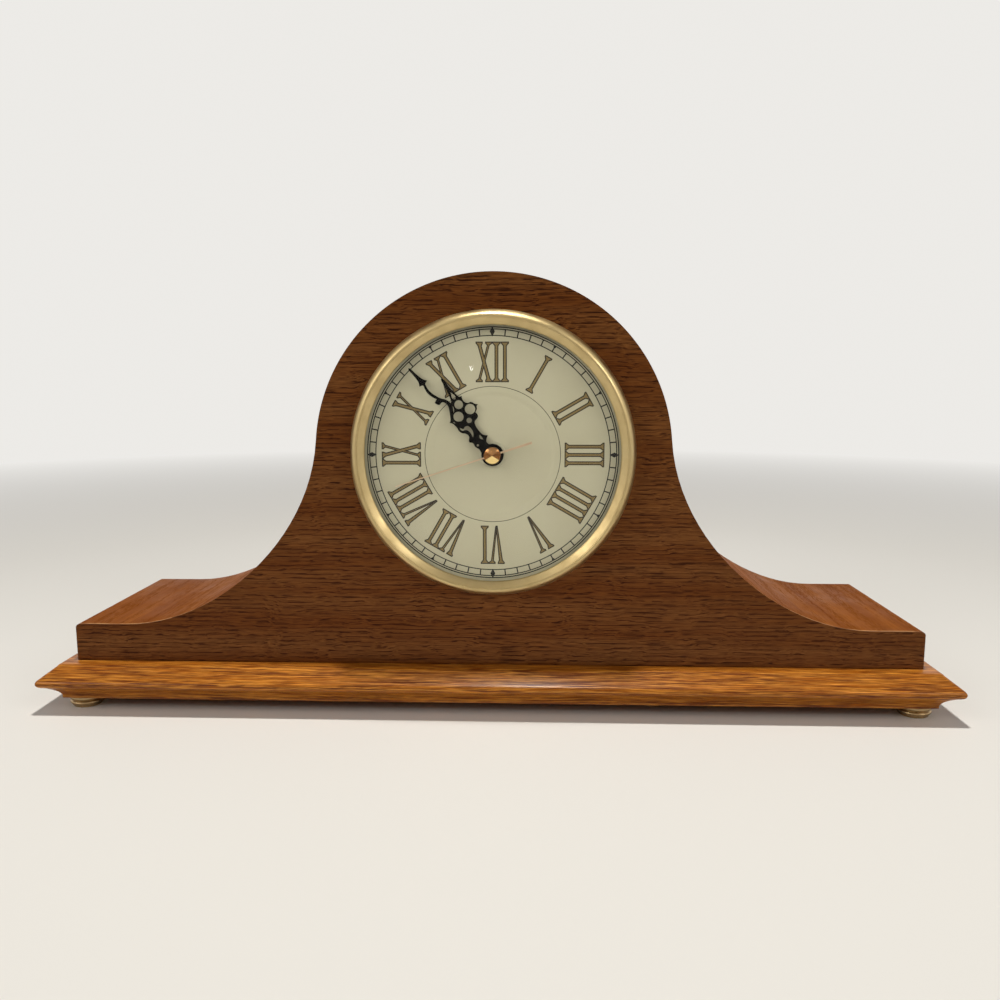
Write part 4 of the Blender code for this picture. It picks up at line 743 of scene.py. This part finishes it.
def join_all(pieces):
    select_only(pieces[0])
    for piece in pieces[1:]:
        piece.select_set(True)
    bpy.ops.object.join()
    return bpy.context.object


def around(piece, copies, first=0):
    """Spaces copies of what a mesh holds round the dial, and turns them to a minute."""
    editing(piece)
    bpy.ops.mesh.spin(
        steps=copies - 1, angle=math.tau * (copies - 1) / copies, center=(0, 0, 0),
        axis=(0, 0, 1), dupli=True,
    )
    leave_edit()
    piece.rotation_euler.z = -math.tau * first / 60
    settle(piece)


track = []
for inner, outer in TRACK_LINES:
    ring = primitive("circle", vertices=240, radius=outer, fill_type="NGON")
    editing(ring)
    bpy.ops.mesh.inset(thickness=outer - inner)
    bpy.ops.mesh.delete(type="FACE")
    leave_edit()
    raise_print(ring)
    track.append(ring)
tick_low, tick_high = TRACK_LINES[2][1], TRACK_LINES[1][0]
tick_middle = (0, (tick_low + tick_high) / 2, 0)
tick = primitive("plane", (TICK_WIDTH, tick_high - tick_low, 1), size=1, location=tick_middle)
raise_print(tick)
around(tick, 60)
track.append(tick)
for corners, stretch, middle, turn, first in SMALL_MARKS:
    mark = primitive(
        "circle", stretch, turn, vertices=corners, radius=1, fill_type="NGON",
        location=(0, middle, 0),
    )
    raise_print(mark, MARK_PRINT)
    around(mark, 4, first)
    track.append(mark)
minute_track = join_all(track)
face_viewer(minute_track, DIAL_FRONT)
dress(minute_track, "minute_track", track_ink, "clock", "black_paint")

MM = 0.001
NUMERAL_HEIGHT = 19.4


def alike(lower):
    """A stroke whose upper half is the lower one, turned over about the middle."""
    return lower + [(NUMERAL_HEIGHT - height, -x, width) for height, x, width in lower[::-1]]


# The strokes of a numeral as rows of (height, middle, width) in millimetres.
STEM = alike([(0, 0, 4.0), (0.9, 0, 4.0), (1.3, 0, 3.1), (2.1, 0, 1.9)])
FALLING = alike([(0, 2.3, 3.5), (0.9, 2.3, 3.5), (1.3, 2.2, 2.9), (2.1, 2.05, 2.0)])
RISING = alike([(0, -2.3, 3.5), (0.9, -2.3, 3.5), (1.2, -2.25, 2.8), (1.8, -2.1, 1.4)])
VEE_THICK = [
    (0, 0.1, 1.0), (17.3, -2.0, 2.0), (18.1, -2.15, 2.9), (18.5, -2.2, 3.5), (19.4, -2.2, 3.5),
]
VEE_THIN = [
    (0.3, 0.3, 1.0), (17.6, 2.2, 1.4), (18.2, 2.3, 2.8), (18.5, 2.35, 3.5), (19.4, 2.35, 3.5),
]
STROKES = {"I": ([STEM], 4.05), "V": ([VEE_THICK, VEE_THIN], 8.0), "X": ([FALLING, RISING], 8.0)}
NUMERALS = ("XII", "I", "II", "III", "IIII", "V", "VI", "VII", "VIII", "IX", "X", "XI")
NUMERAL_FOOT = 0.0352
OUTLINE = 0.00052
STROKE_LIFT = 0.0000015


def stroke(rows, shift, lift):
    """One stroke of a numeral: a dark slab with a bronze face raised inside its outline."""
    rows = [(NUMERAL_FOOT + height * MM, x * MM, width * MM) for height, x, width in rows]
    foot, middle, width = rows[0]
    place = (shift * MM + middle, foot, 0)
    piece = primitive("plane", (width, MM, 1), size=1, location=place)
    editing(piece)
    choose(piece, "verts", lambda vertex: vertex.co.y > foot)
    bpy.ops.mesh.delete(type="VERT")
    choose(piece, "edges", lambda edge: True)
    bpy.ops.transform.translate(value=(0, MM / 2, 0))
    for (low, x, wide), (high, next_x, next_wide) in zip(rows, rows[1:]):
        extrude(next_x - x, high - low, 0)
        bpy.ops.transform.resize(value=(next_wide / wide, 1, 1))
    bpy.ops.mesh.select_all(action="SELECT")
    bpy.ops.mesh.normals_make_consistent(inside=False)
    choose(piece, "faces", lambda face: True)
    extrude(0, 0, PRINT + lift)
    bpy.ops.mesh.inset(thickness=OUTLINE)
    extrude(0, 0, PRINT / 2)
    leave_edit()
    piece.data.materials.append(outline_ink)
    piece.data.materials.append(bronze_ink)
    for face in piece.data.polygons:
        lowest = min(piece.data.vertices[vertex].co.z for vertex in face.vertices)
        face.material_index = int(lowest > PRINT + lift + TINY)
    editing(piece)
    bpy.ops.mesh.normals_make_consistent(inside=False)
    leave_edit()
    return piece


for hour, letters in enumerate(NUMERALS):
    reach = -sum(STROKES[letter][1] for letter in letters) / 2
    drawn = []
    for letter in letters:
        strokes, advance = STROKES[letter]
        for rows in strokes:
            drawn.append(stroke(rows, reach + advance / 2, len(drawn) * STROKE_LIFT))
        reach += advance
    numeral = join_all(drawn)
    face_viewer(numeral, DIAL_FRONT, angle=-math.tau * hour / 12)
    numeral.name = f"numeral_{hour or 12}"
    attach(numeral, "clock")

# ---------------------------------------- nut, hands and cap
# A black nut holds the movement to the dial. The serpentine hands are stamped from steel,
# pierced and painted black. The seconds hand is a thin copper-coloured strip, and a turned
# brass cap covers their hub.
painted_black, shader, place = new_material("hand_paint", 0.45)
orange_peel = noise(place, 1800.0)
black = blend_colour(span(orange_peel, 0.4, 0.7), (9, 7, 5), (17, 13, 10))
fill(shader, {"Base Color": black, "Specular IOR Level": 0.06})
bump(shader, orange_peel, 0.00001, 0.5)
coat(painted_black, "fixing_nut")

HOUR_LENGTH = 44.6
HOUR_HALF = [
    (2.6, 4.0), (1.5, 5.6), (1.4, 7.4), (3.5, 9.3), (1.8, 10.9), (1.2, 13.4), (1.2, 16.6),
    (2.0, 18.4), (3.5, 18.9), (4.7, 19.6), (5.0, 20.8), (4.8, 21.8), (6.2, 22.8), (6.9, 24.0),
    (7.9, 24.4), (6.9, 25.3), (5.7, 27.2), (3.9, 27.8), (3.0, 29.3), (3.0, 30.8), (3.5, 32.1),
    (2.3, 32.5), (1.8, 34.0), (1.2, 37.2), (0.75, 41.0), (0.5, 43.8),
]
MINUTE_LENGTH = 58.2
MINUTE_RIGHT = [
    (2.5, 3.4), (1.5, 5.6), (2.2, 8.2), (1.4, 10.2), (3.3, 12.0), (2.2, 13.6), (2.8, 15.6),
    (2.6, 17.8), (2.0, 19.6), (1.5, 21.2), (0.5, 22.4), (-0.7, 23.4), (-1.2, 24.6), (-1.0, 25.9),
    (-0.1, 27.0), (1.1, 28.3), (2.3, 30.0), (2.9, 31.8), (2.9, 33.4), (2.3, 35.2), (1.0, 37.4),
    (0.2, 39.8), (-0.3, 42.2), (-0.3, 44.6), (0.2, 46.4), (0.6, 47.3), (2.3, 47.7), (1.3, 49.6),
    (0.85, 51.8), (0.6, 54.4), (0.35, 57.6),
]
MINUTE_LEFT = [
    (-0.55, 57.6), (-0.75, 54.4), (-1.0, 51.8), (-1.4, 49.8), (-2.4, 48.2), (-0.9, 47.4),
    (-1.2, 46.0), (-1.7, 44.2), (-1.7, 41.8), (-1.2, 39.6), (-0.6, 38.2), (-2.6, 37.5),
    (-1.7, 35.4), (0.3, 35.2), (1.2, 33.4), (0.8, 31.4), (-0.5, 29.3), (-1.8, 27.5),
    (-2.9, 26.2), (-4.1, 25.6), (-3.3, 24.4), (-3.1, 22.8), (-3.1, 21.4), (-3.5, 19.8),
    (-3.2, 18.0), (-2.0, 16.4), (-1.8, 14.4), (-3.6, 12.4), (-2.7, 10.8), (-3.1, 8.6),
    (-2.6, 6.4), (-3.0, 4.4),
]
MINUTE_HOLES = [
    [(-0.8, 12.7), (0.6, 13.8), (1.5, 15.8), (1.5, 18.1), (0.7, 19.4), (-0.4, 19.1),
     (-1.1, 18.9), (-1.7, 19.5), (-2.1, 20.6), (-2.5, 19.6), (-2.1, 18.5), (-1.1, 18.0),
     (-0.3, 17.0), (-0.1, 15.2)],
    [(-2.5, 25.3), (-2.4, 23.8), (-1.9, 23.6), (-2.0, 25.0)],
]
HOUR_HOLES = [
    [(0.9, 33.4), (0, 36.6), (-0.9, 33.4), (0, 32.5)],
    [(0.6, 9.0), (0.5, 11.2), (0, 12.4), (-0.5, 11.2), (-0.6, 9.0), (0, 8.0)],
]
HOUR_LOOPS = [
    (0.0025, (0.0034, 0.0246)), (0.0025, (-0.0034, 0.0246)), (0.0021, (0, 0.0294)),
    (0.0013, (0, 0.0203)),
]
MINUTE_LOOPS = [(0.00055, (-0.0017, 0.0084))]
HUB_RADIUS = 4.3
HOUR_BORE = 0.0029
MINUTE_BORE = 0.00195
SHARP_TURN = math.radians(78)
BLADE = 0.0003
BLADE_EDGE = 0.00006
FLOW = 0.38
COLLET_PROUD = 0.0002
COLLET_WALL = 0.0011
COLLET_EDGE = 0.0001


def flowing(points):
    """Bezier knots, in metres, through points in millimetres, sharp at each barb."""
    spots = [Vector(point) * MM for point in points]
    knots = []
    for number, spot in enumerate(spots):
        before, after = spots[number - 1], spots[(number + 1) % len(spots)]
        if (spot - before).angle(after - spot) > SHARP_TURN:
            knots.append([spot, spot + (before - spot) / 3, spot + (after - spot) / 3])
        else:
            along = (after - before).normalized() * FLOW
            back, ahead = (spot - before).length, (after - spot).length
            knots.append([spot, spot - along * back, spot + along * ahead])
    return knots


def hand(cad_node, edge, loops, holes, bore, body, angle):
    """A pierced blade with a collet, in the place of the CAD's hand."""
    low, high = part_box(cad_node)
    pierced = [round_hole(*loop) for loop in loops] + [flowing(hole) for hole in holes]
    blade = draw("blade", [flowing(edge)] + pierced, BLADE)
    soften(blade, BLADE_EDGE)
    foot = -BLADE / 2 - COLLET_PROUD
    top = foot + (high.y - low.y)
    collet = spun(
        [(bore + COLLET_WALL - COLLET_EDGE, top), (bore + COLLET_WALL, top - COLLET_EDGE),
         (bore + COLLET_WALL, foot), (bore, foot), (bore, top)], 64, closed=True,
    )
    piece = join_all([blade, collet])
    face_viewer(piece, high.y - COLLET_PROUD - BLADE / 2, angle=angle)
    smooth(piece)
    dress(piece, f"{cad_node}_pierced", painted_black, body, "black_paint", cad_node)


REST_HOURS = 10 + 52.7 / 60
hub = arc((0, 0), HUB_RADIUS, 232, 308, 7)
hour_edge = hub + HOUR_HALF + [(0, HOUR_LENGTH)] + [(-x, y) for x, y in HOUR_HALF[::-1]]
hand("hour_hand", hour_edge, HOUR_LOOPS, HOUR_HOLES, HOUR_BORE, "hour_arbor",
     -math.tau * REST_HOURS / 12)
minute_edge = hub + MINUTE_RIGHT + [(-0.1, MINUTE_LENGTH)] + MINUTE_LEFT
hand("minute_hand", minute_edge, MINUTE_LOOPS, MINUTE_HOLES, MINUTE_BORE, "minute_arbor",
     -math.tau * (REST_HOURS % 1))

SECOND_TIP = 0.05
SECOND_TAIL = 0.0202
SECOND_HUB = 0.0026
SECOND_BORE = 0.0009
SECOND_THICKNESS = 0.0002
SECOND_ANGLE = -math.tau * 42 / 60
copper_strip = metal("copper_strip", (226, 198, 168), (180, 148, 118), 0.35)
strip_low, strip_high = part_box("second_hand")
hub_length = strip_high.y - strip_low.y
right_edge = [(0.0006, -SECOND_TAIL), (0.0004, 0.0), (0.0002, SECOND_TIP)]
strip_edge = [corner(-x, y) for x, y in right_edge[::-1]] + [corner(x, y) for x, y in right_edge]
strip = draw("strip", [strip_edge], SECOND_THICKNESS)
hub_disc = draw("hub_disc", [round_hole(SECOND_HUB), round_hole(SECOND_BORE)], hub_length)
settle(strip, Matrix.Translation((0, 0, (hub_length - SECOND_THICKNESS) / 2)))
seconds = join_all([strip, hub_disc])
face_viewer(seconds, (strip_low.y + strip_high.y) / 2, angle=SECOND_ANGLE)
dress(seconds, "second_hand_strip", copper_strip, "seconds_arbor", "rose_gold", "second_hand")

cap_low, cap_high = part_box("hand_cap")
CAP_RADIUS = 0.0041
cap_front, cap_back = FACE_Y - cap_low.y, FACE_Y - cap_high.y
CAP_SECTION = [
    (0.0, cap_front), (0.0006, cap_front - 0.00012), (0.0037, cap_front - 0.00125),
    (0.004, cap_front - 0.0014), (CAP_RADIUS, cap_front - 0.0016), (CAP_RADIUS, cap_back + 0.0001),
    (CAP_RADIUS - 0.0001, cap_back), (0.0008, cap_back), (0.0008, cap_back + 0.0011),
    (0.0, cap_back + 0.0011),
]


# A lathe leaves fine rings round the dial's axis.
turning, tool, turned = new_group("turning", {"Ring Width": 0.0003}, ("Rings",))
counted = maths("DIVIDE", vector_maths("LENGTH", from_axis(tool["Vector"])), tool["Ring Width"])
ring_line = node("CombineXYZ", {"X": counted}).outputs[0]
fill(turned, {"Rings": noise(ring_line, 1.0, 2.0, 0.7)})


def lathe_rings(material, tarnish, width, depth):
    """Adds the rings of a lathe to a metal."""
    shader, place, colour = reopen(material)
    rough = shader.inputs["Roughness"].links[0].from_socket
    turned_place = {"Vector": place, "Ring Width": width}
    rings = node("Group", turned_place, node_tree=turning).outputs["Rings"]
    fill(shader, {
        "Base Color": blend_colour(span(rings, 0.35, 0.75, 0.0, 0.3), colour, tarnish),
        "Roughness": maths("ADD", rough, span(rings, 0.3, 0.7, -0.04, 0.05)),
    })
    bump(shader, rings, depth, 0.5)


cap_brass_painted_reflections = metal("cap_brass_painted_reflections", (226, 172, 116), (120, 70, 36), 0.14)
lathe_rings(cap_brass_painted_reflections, (120, 70, 36), 0.0003, 0.0001)
# Painted reflections: the colour is darkened in sectors at the left and right and lightened to a
# painted highlight at the bottom, where a turned cone's rings would mirror light and dark.
shader, place, ringed = reopen(cap_brass_painted_reflections)
outward = vector_maths("NORMALIZE", from_axis(place))
painted_dark_reflections = span(maths("ABSOLUTE", part(outward, "X")), 0.72, 0.86, 0.0, 0.8)
painted_bright_reflection = span(part(outward, "Z"), -0.62, -0.48, 1.0, 0.0)
with_painted_dark_reflections = blend_colour(painted_dark_reflections, ringed, (128, 78, 38))
fill(shader, {"Base Color": blend_colour(painted_bright_reflection, with_painted_dark_reflections, (250, 218, 150))})
cap = spun(CAP_SECTION)
face_viewer(cap, FACE_Y)
smooth(cap)
dress(cap, "hand_cap_turned", cap_brass_painted_reflections, "seconds_arbor", "brass", "hand_cap")

# ---------------------------------------- bezel
# A ring spun from thin sheet brass, lacquered over. A rounded outer bead rises to a crest,
# a fine groove runs inside that, and a broad brushed cone falls to the lip over the glass.
BEZEL_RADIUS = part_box("bezel")[1].x
BEZEL_SHEET = 0.0011
CREASE = (0.06578, 0.008)
CREST = (0.0665, 0.008215)
BEZEL_FOOT = 0.0002
LIP_RADIUS = 0.0625
LIP_HEIGHT = 0.005415
GLASS_SEAT = 0.004865
GROOVE = 0.0653
flank = bezier(
    (BEZEL_RADIUS, 0.00205), (BEZEL_RADIUS - 0.0001, 0.0046), (0.0684, 0.0078), CREST, 20,
)
bead = bezier(CREST, (0.0662, 0.00825), (0.06585, 0.0082), CREASE, 6)
BEZEL_SECTION = (
    [(BEZEL_RADIUS, BEZEL_FOOT)] + flank + bead[1:]
    + [(CREASE[0] - 0.00003, CREASE[1] - 0.0005), (CREASE[0] - 0.00025, CREASE[1] - 0.0006),
       (LIP_RADIUS + 0.0006, LIP_HEIGHT + 0.0003), (LIP_RADIUS + 0.0001, LIP_HEIGHT - 0.00008),
       (LIP_RADIUS, LIP_HEIGHT - 0.0003), (LIP_RADIUS, GLASS_SEAT), (GROOVE, GLASS_SEAT),
       (GROOVE, BEZEL_FOOT), (GROOVE + BEZEL_SHEET, BEZEL_FOOT),
       (GROOVE + BEZEL_SHEET, GLASS_SEAT), (0.0673, 0.006),
       (BEZEL_RADIUS - BEZEL_SHEET, BEZEL_FOOT)]
)
bezel_brass = metal("bezel_brass", (208, 186, 136), (160, 136, 92), 0.4)
lathe_rings(bezel_brass, (160, 136, 92), 0.00022, 0.00004)
bezel = spun(BEZEL_SECTION, steps=160, closed=True)
face_viewer(bezel, FACE_Y)
smooth(bezel, angle=30)
dress(bezel, "bezel_spun", bezel_brass, "clock", "brass", "bezel")

# ---------------------------------------- glass
# A domed lens of clear glass, slumped in a mould from flat sheet. It is held between the
# dial and the lip of the bezel.
GLASS_RADIUS = 0.065
GLASS_RISE = 0.0095
GLASS_THICKNESS = 0.0015
GLASS_STEPS = 24
GLASS_EDGE = FACE_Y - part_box("dial_glass")[0].y - GLASS_RISE
BALL = (GLASS_RADIUS**2 + GLASS_RISE**2) / (2 * GLASS_RISE)
radii = [GLASS_RADIUS * step / GLASS_STEPS for step in range(GLASS_STEPS + 1)]
domes = [GLASS_RISE - BALL + math.sqrt(BALL**2 - radius**2) for radius in radii]
outside = [(radius, GLASS_EDGE + rise) for radius, rise in zip(radii, domes)]
inside = [(radius, height - GLASS_THICKNESS) for radius, height in outside]
lens = spun(outside + inside[::-1], steps=128)
face_viewer(lens, FACE_Y)
smooth(lens)
clear_glass, shader, place = new_material("clear_glass", 0.0)
fill(shader, {
    "Base Color": (0.99, 0.995, 0.98, 1.0), "Transmission Weight": 1.0, "IOR": 1.2,
    "Roughness": span(mottle(place), 0.55, 0.8, 0.0, 0.05),
})
nodes = clear_glass.node_tree.nodes
clear = nodes.new("ShaderNodeBsdfTransparent")
fill(clear, {"Color": (0.96, 0.965, 0.95, 1.0)})
shadow_ray = nodes.new("ShaderNodeLightPath").outputs["Is Shadow Ray"]
lets_lamps_through = node(
    "MixShader", {0: shadow_ray, 1: shader.outputs[0], 2: clear.outputs[0]}
)
fill(nodes["Material Output"], {"Surface": lets_lamps_through.outputs[0]})
dress(lens, "dial_lens", clear_glass, "clock", "glass", "dial_glass")

# ---------------------------------------- movement
# A quartz chime movement: a black moulded box in two halves round a plastic and metal
# train, a coil, a circuit board and a small speaker, run by one cell.


def moulded(name, colour, roughness, texture_depth=0.00002):
    """Moulded plastic with a fine texture from its tool."""
    material, shader, place = new_material(name, roughness)
    texture = noise(place, 3200.0)
    bright = [min(255, channel * 1.12 + 5) for channel in colour]
    fill(shader, {
        "Base Color": blend_colour(span(mottle(place), 0.35, 0.7), colour, bright),
        "Roughness": span(texture, 0.3, 0.7, roughness * 0.85, roughness * 1.15),
    })
    bump(shader, texture, texture_depth, 0.6)
    return material


black_plastic = moulded("black_plastic", (30, 30, 32), 0.5)
white_plastic = moulded("white_plastic", (226, 224, 214), 0.38, 0.00001)
soft_rubber = moulded("soft_rubber", (40, 40, 42), 0.8)
train_steel = metal("train_steel", (188, 188, 190), (130, 128, 124), 0.3)
train_brass = metal("train_brass", (222, 186, 110), (160, 122, 62), 0.26)
coat(black_plastic, "movement_front_case", "movement_back_case")
coat(white_plastic, "hour_wheel", "motion_wheel", "setting_knob", "intermediate_wheel")
coat(white_plastic, "volume_slide", "chime_slide")
coat(soft_rubber, "rubber_washer")
coat(train_steel, "middle_plate", "train_bridge", "stator", "rotor", "seconds_wheel")
coat(train_steel, "third_wheel", "battery_spring", "battery_contact")
coat(train_brass, "cannon_pinion", "centre_wheel")

# The coil is wound with fine lacquered wire, round X. Its colour has painted shade, darker in the
# grooves between the turns and lighter on their crowns.
WIRE = 0.00016
winding, shader, place = new_material("wound_copper", 0.3, 1.0)
turns_with_painted_shade = span(maths("PINGPONG", part(place, "X"), WIRE / 2), 0.0, WIRE / 2)
fill(shader, {"Base Color": blend_colour(turns_with_painted_shade, (112, 58, 26), (206, 124, 70))})
bump(shader, turns_with_painted_shade, 0.00005)
coat(winding, "drive_coil")

# The circuit board: green solder mask over copper tracks.
board_mask, shader, place = new_material("board_mask", 0.4)
tracks = span(maths("PINGPONG", noise(place, 420.0, 0.0), 0.06), 0.028, 0.034)
fill(shader, {"Base Color": blend_colour(tracks, (24, 84, 50), (44, 116, 70))})
bump(shader, tracks, 0.00003)
coat(board_mask, "circuit_board")

# The speaker: a pressed steel basket with a paper cone, seen through the grille.
speaker_paper, shader, place = new_material("speaker_paper", 0.7)
pulp = noise(place, 1500.0, 3.0)
fill(shader, {"Base Color": blend_colour(pulp, (58, 54, 50), (92, 86, 78))})
bump(shader, pulp, 0.00004)
coat(speaker_paper, "speaker")

# The cell has a plain dark sleeve with a copper-coloured end.
GOLD_LENGTH = 0.0142
NUB_LENGTH = 0.0014
SLEEVE_EDGE = 0.0002
cell_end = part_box("battery")[1].x
cell_sleeve, shader, place = new_material("cell_sleeve", 0.28)
gold_end, bare_end = (
    span(part(place, "X"), cell_end - length, cell_end - length + SLEEVE_EDGE)
    for length in (GOLD_LENGTH, NUB_LENGTH)
)
sleeve = blend_colour(gold_end, (36, 38, 42), (190, 130, 72))
capped = blend_colour(bare_end, sleeve, (196, 196, 198))
scuffs = span(noise(place, (500.0, 1500.0, 1500.0), 3.0), 0.62, 0.75, 0.0, 0.4)
fill(shader, {
    "Base Color": blend_colour(scuffs, capped, (140, 138, 134)),
    "Metallic": maths("MAXIMUM", maths("MULTIPLY", gold_end, 0.7), bare_end),
})
coat(cell_sleeve, "battery")

# ---------------------------------------- back
# A recessed hardboard panel closes the back. Its door, slotted for the chime, hangs on two
# brass butt hinges and shuts on a magnet. A turned brass knob opens it.
hardboard, shader, place = new_material("hardboard", 0.6)
pressed = noise(place, (260.0, 700.0, 260.0), 5.0, 0.7)
board = blend_colour(span(pressed, 0.3, 0.7), (92, 58, 36), (122, 82, 52))
flecks = span(noise(place, 1400.0), 0.6, 0.72, 0.0, 0.5)
fill(shader, {"Base Color": blend_colour(flecks, board, (64, 38, 22))})
bump(shader, pressed, 0.00005)
coat(hardboard, "back_panel", "back_door")
hinge_brass = metal("hinge_brass", (214, 180, 110), (140, 108, 58), 0.3)
for level in ("upper", "lower"):
    for hinge_part in ("fixed_leaf", "door_leaf", "pin"):
        coat(hinge_brass, f"hinge_{hinge_part}_{level}")

# Each leaf is held by two slotted brass screws with low round heads.
LEAF_THICKNESS = 0.0008
LEAF_MIDDLES = {"fixed": (0.0677, "clock"), "door": (0.0533, "door")}
HEAD_RADIUS = 0.0017
HEAD_RIM = 0.0004
HEAD_STEPS = [(0.0002, 0.0001), (0.0003, 0.0001), (0.0005, 0.00008)]
SLOT = (0.006, 0.0004, 0.0008)
FROM_LEAF_END = 0.004
TURN_PER_METRE = 70
screw_head = primitive(
    "cylinder", vertices=32, radius=HEAD_RADIUS, depth=HEAD_RIM, location=(0, 0, HEAD_RIM / 2)
)
editing(screw_head)
choose(screw_head, "faces", lambda face: face.normal.z > LEVEL)
for inward, rise in HEAD_STEPS:
    bpy.ops.mesh.inset(thickness=inward)
    bpy.ops.transform.translate(value=(0, 0, rise))
leave_edit()
cut(screw_head, primitive("cube", SLOT, size=1, location=(0, 0, SLOT[2])))
for level in ("upper", "lower"):
    for side, (middle, body) in LEAF_MIDDLES.items():
        low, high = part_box(f"hinge_{side}_leaf_{level}")
        heights = (low.z + FROM_LEAF_END, high.z - FROM_LEAF_END)
        for number, height in enumerate(heights, 1):
            screw = another(screw_head)
            spot = Matrix.Translation((middle, low.y + LEAF_THICKNESS, height))
            slant = Matrix.Rotation(height * TURN_PER_METRE, 4, "Y")
            settle(screw, spot @ slant @ Matrix.Rotation(-math.pi / 2, 4, "X"))
            smooth(screw)
            dress(screw, f"hinge_screw_{side}_{level}_{number}", hinge_brass, body, "brass")
bpy.data.objects.remove(screw_head)
coat(zinc, "strike_plate")
coat(black_plastic, "catch_magnet")

knob_low, knob_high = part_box("door_knob")
knob_middle = (knob_low + knob_high) / 2
KNOB_SECTION = [
    (0.0, 0.0068), (0.0022, 0.0067), (0.0036, 0.0064), (0.0046, 0.0057), (0.005, 0.0048),
    (0.005, 0.004), (0.0044, 0.0031), (0.0032, 0.0023), (0.0026, 0.0016), (0.0026, 0.0009),
    (0.0031, 0.0002), (0.0031, 0.0), (0.0015, 0.0), (0.0015, -0.0042), (0.0, -0.0042),
]
knob_brass = metal("knob_brass", (226, 190, 118), (150, 112, 58), 0.22)
knob = spun(KNOB_SECTION, steps=64)
spot = (knob_middle.x, knob_high.y - KNOB_SECTION[0][1], knob_middle.z)
settle(knob, Matrix.Translation(spot) @ Matrix.Rotation(-math.pi / 2, 4, "X"))
smooth(knob)
dress(knob, "door_knob_turned", knob_brass, "door", "brass", "door_knob")

# ---------------------------------------- stage
# A plain pale table that runs out into the backdrop, a soft lamp overhead and one on each
# side, a small one that gives the brass a glint, and the camera of the photograph.
BACKDROP = (236, 234, 230)
CEILING = (150, 146, 140)
ROOM = (178, 173, 165)
TABLE_FADE = (0.55, 1.6)


def surroundings(way, near, far):
    """The backdrop, darker in front where it is mirrored, and a mask for rays that see it."""
    rays = way.id_data.nodes.new("ShaderNodeLightPath").outputs
    mirrored = maths("MAXIMUM", rays["Is Glossy Ray"], rays["Is Transmission Ray"])
    in_front = maths("MULTIPLY", span(part(way, "Y"), near, far), mirrored)
    seen = maths("MAXIMUM", rays["Is Camera Ray"], mirrored)
    return blend_colour(in_front, BACKDROP, ROOM), seen


def stand(name, data, spot, turn):
    """Puts a lamp or a camera in its place."""
    item = bpy.data.objects.new(name, data)
    item.location = spot
    item.rotation_euler = turn
    bpy.context.scene.collection.objects.link(item)
    return item


table = primitive("plane", size=12)
table.name = "table"
table_white, shader, place = new_material("table_white", 0.6)
fill(shader, {"Base Color": srgb(228, 226, 221), "Specular IOR Level": 0.2})
far_colour, seen = surroundings(place, -0.4, -1.6)
away = span(vector_maths("LENGTH", place), *TABLE_FADE)
backdrop = node("Emission", {"Color": far_colour, "Strength": 1.0}).outputs[0]
fading = maths("MULTIPLY", away, seen)
laid = node("MixShader", {0: fading, 1: shader.outputs[0], 2: backdrop}).outputs[0]
fill(table_white.node_tree.nodes["Material Output"], {"Surface": laid})
table.data.materials.append(table_white)

world = bpy.data.worlds.new("room")
bpy.context.scene.world = world
world.use_nodes = True
nodes = world.node_tree.nodes
light = nodes["Background"]
fill(light, {"Color": (1.0, 0.98, 0.95, 1.0), "Strength": 0.12})
heading = nodes.new("ShaderNodeTexCoord").outputs["Generated"]
sides, seen = surroundings(heading, -0.3, -0.8)
around_clock = blend_colour(span(part(heading, "Z"), 0.55, 0.85), sides, CEILING)
wall = node("Background", {"Color": around_clock, "Strength": 1.0}).outputs[0]
mixed = node("MixShader", {0: seen, 1: light.outputs[0], 2: wall}).outputs[0]
fill(nodes["World Output"], {"Surface": mixed})

LAMPS = {
    "ceiling_lamp": ((0.03, -0.03, 1.5), 0.12, 17.0, (1.0, 0.97, 0.92)),
    "left_lamp": ((-1.05, -0.82, 0.85), 0.7, 4.8, (1.0, 0.97, 0.93)),
    "right_lamp": ((1.05, -0.82, 0.85), 0.7, 4.3, (1.0, 0.97, 0.93)),
    "glint_lamp": ((-0.31, -1.9, 0.92), 0.05, 0.4, (1.0, 0.98, 0.95)),
}
AIM = Vector((0, 0, 0.1))
for name, (spot, size, power, colour) in LAMPS.items():
    lamp = bpy.data.lights.new(name, "AREA")
    lamp.shape = "DISK"
    lamp.size = size
    lamp.energy = power
    lamp.color = colour
    stand(name, lamp, spot, (AIM - Vector(spot)).to_track_quat("-Z", "Y").to_euler())

eye = bpy.data.cameras.new("camera")
eye.sensor_width = 36
eye.lens = 30.6
eye.clip_start = 0.01
turn = [math.radians(angle) for angle in (81.886, 0.06, 2.097)]
bpy.context.scene.camera = stand("camera", eye, (0.0189, -0.4666, 0.1682), turn)
bpy.context.scene.view_settings.view_transform = "Standard"
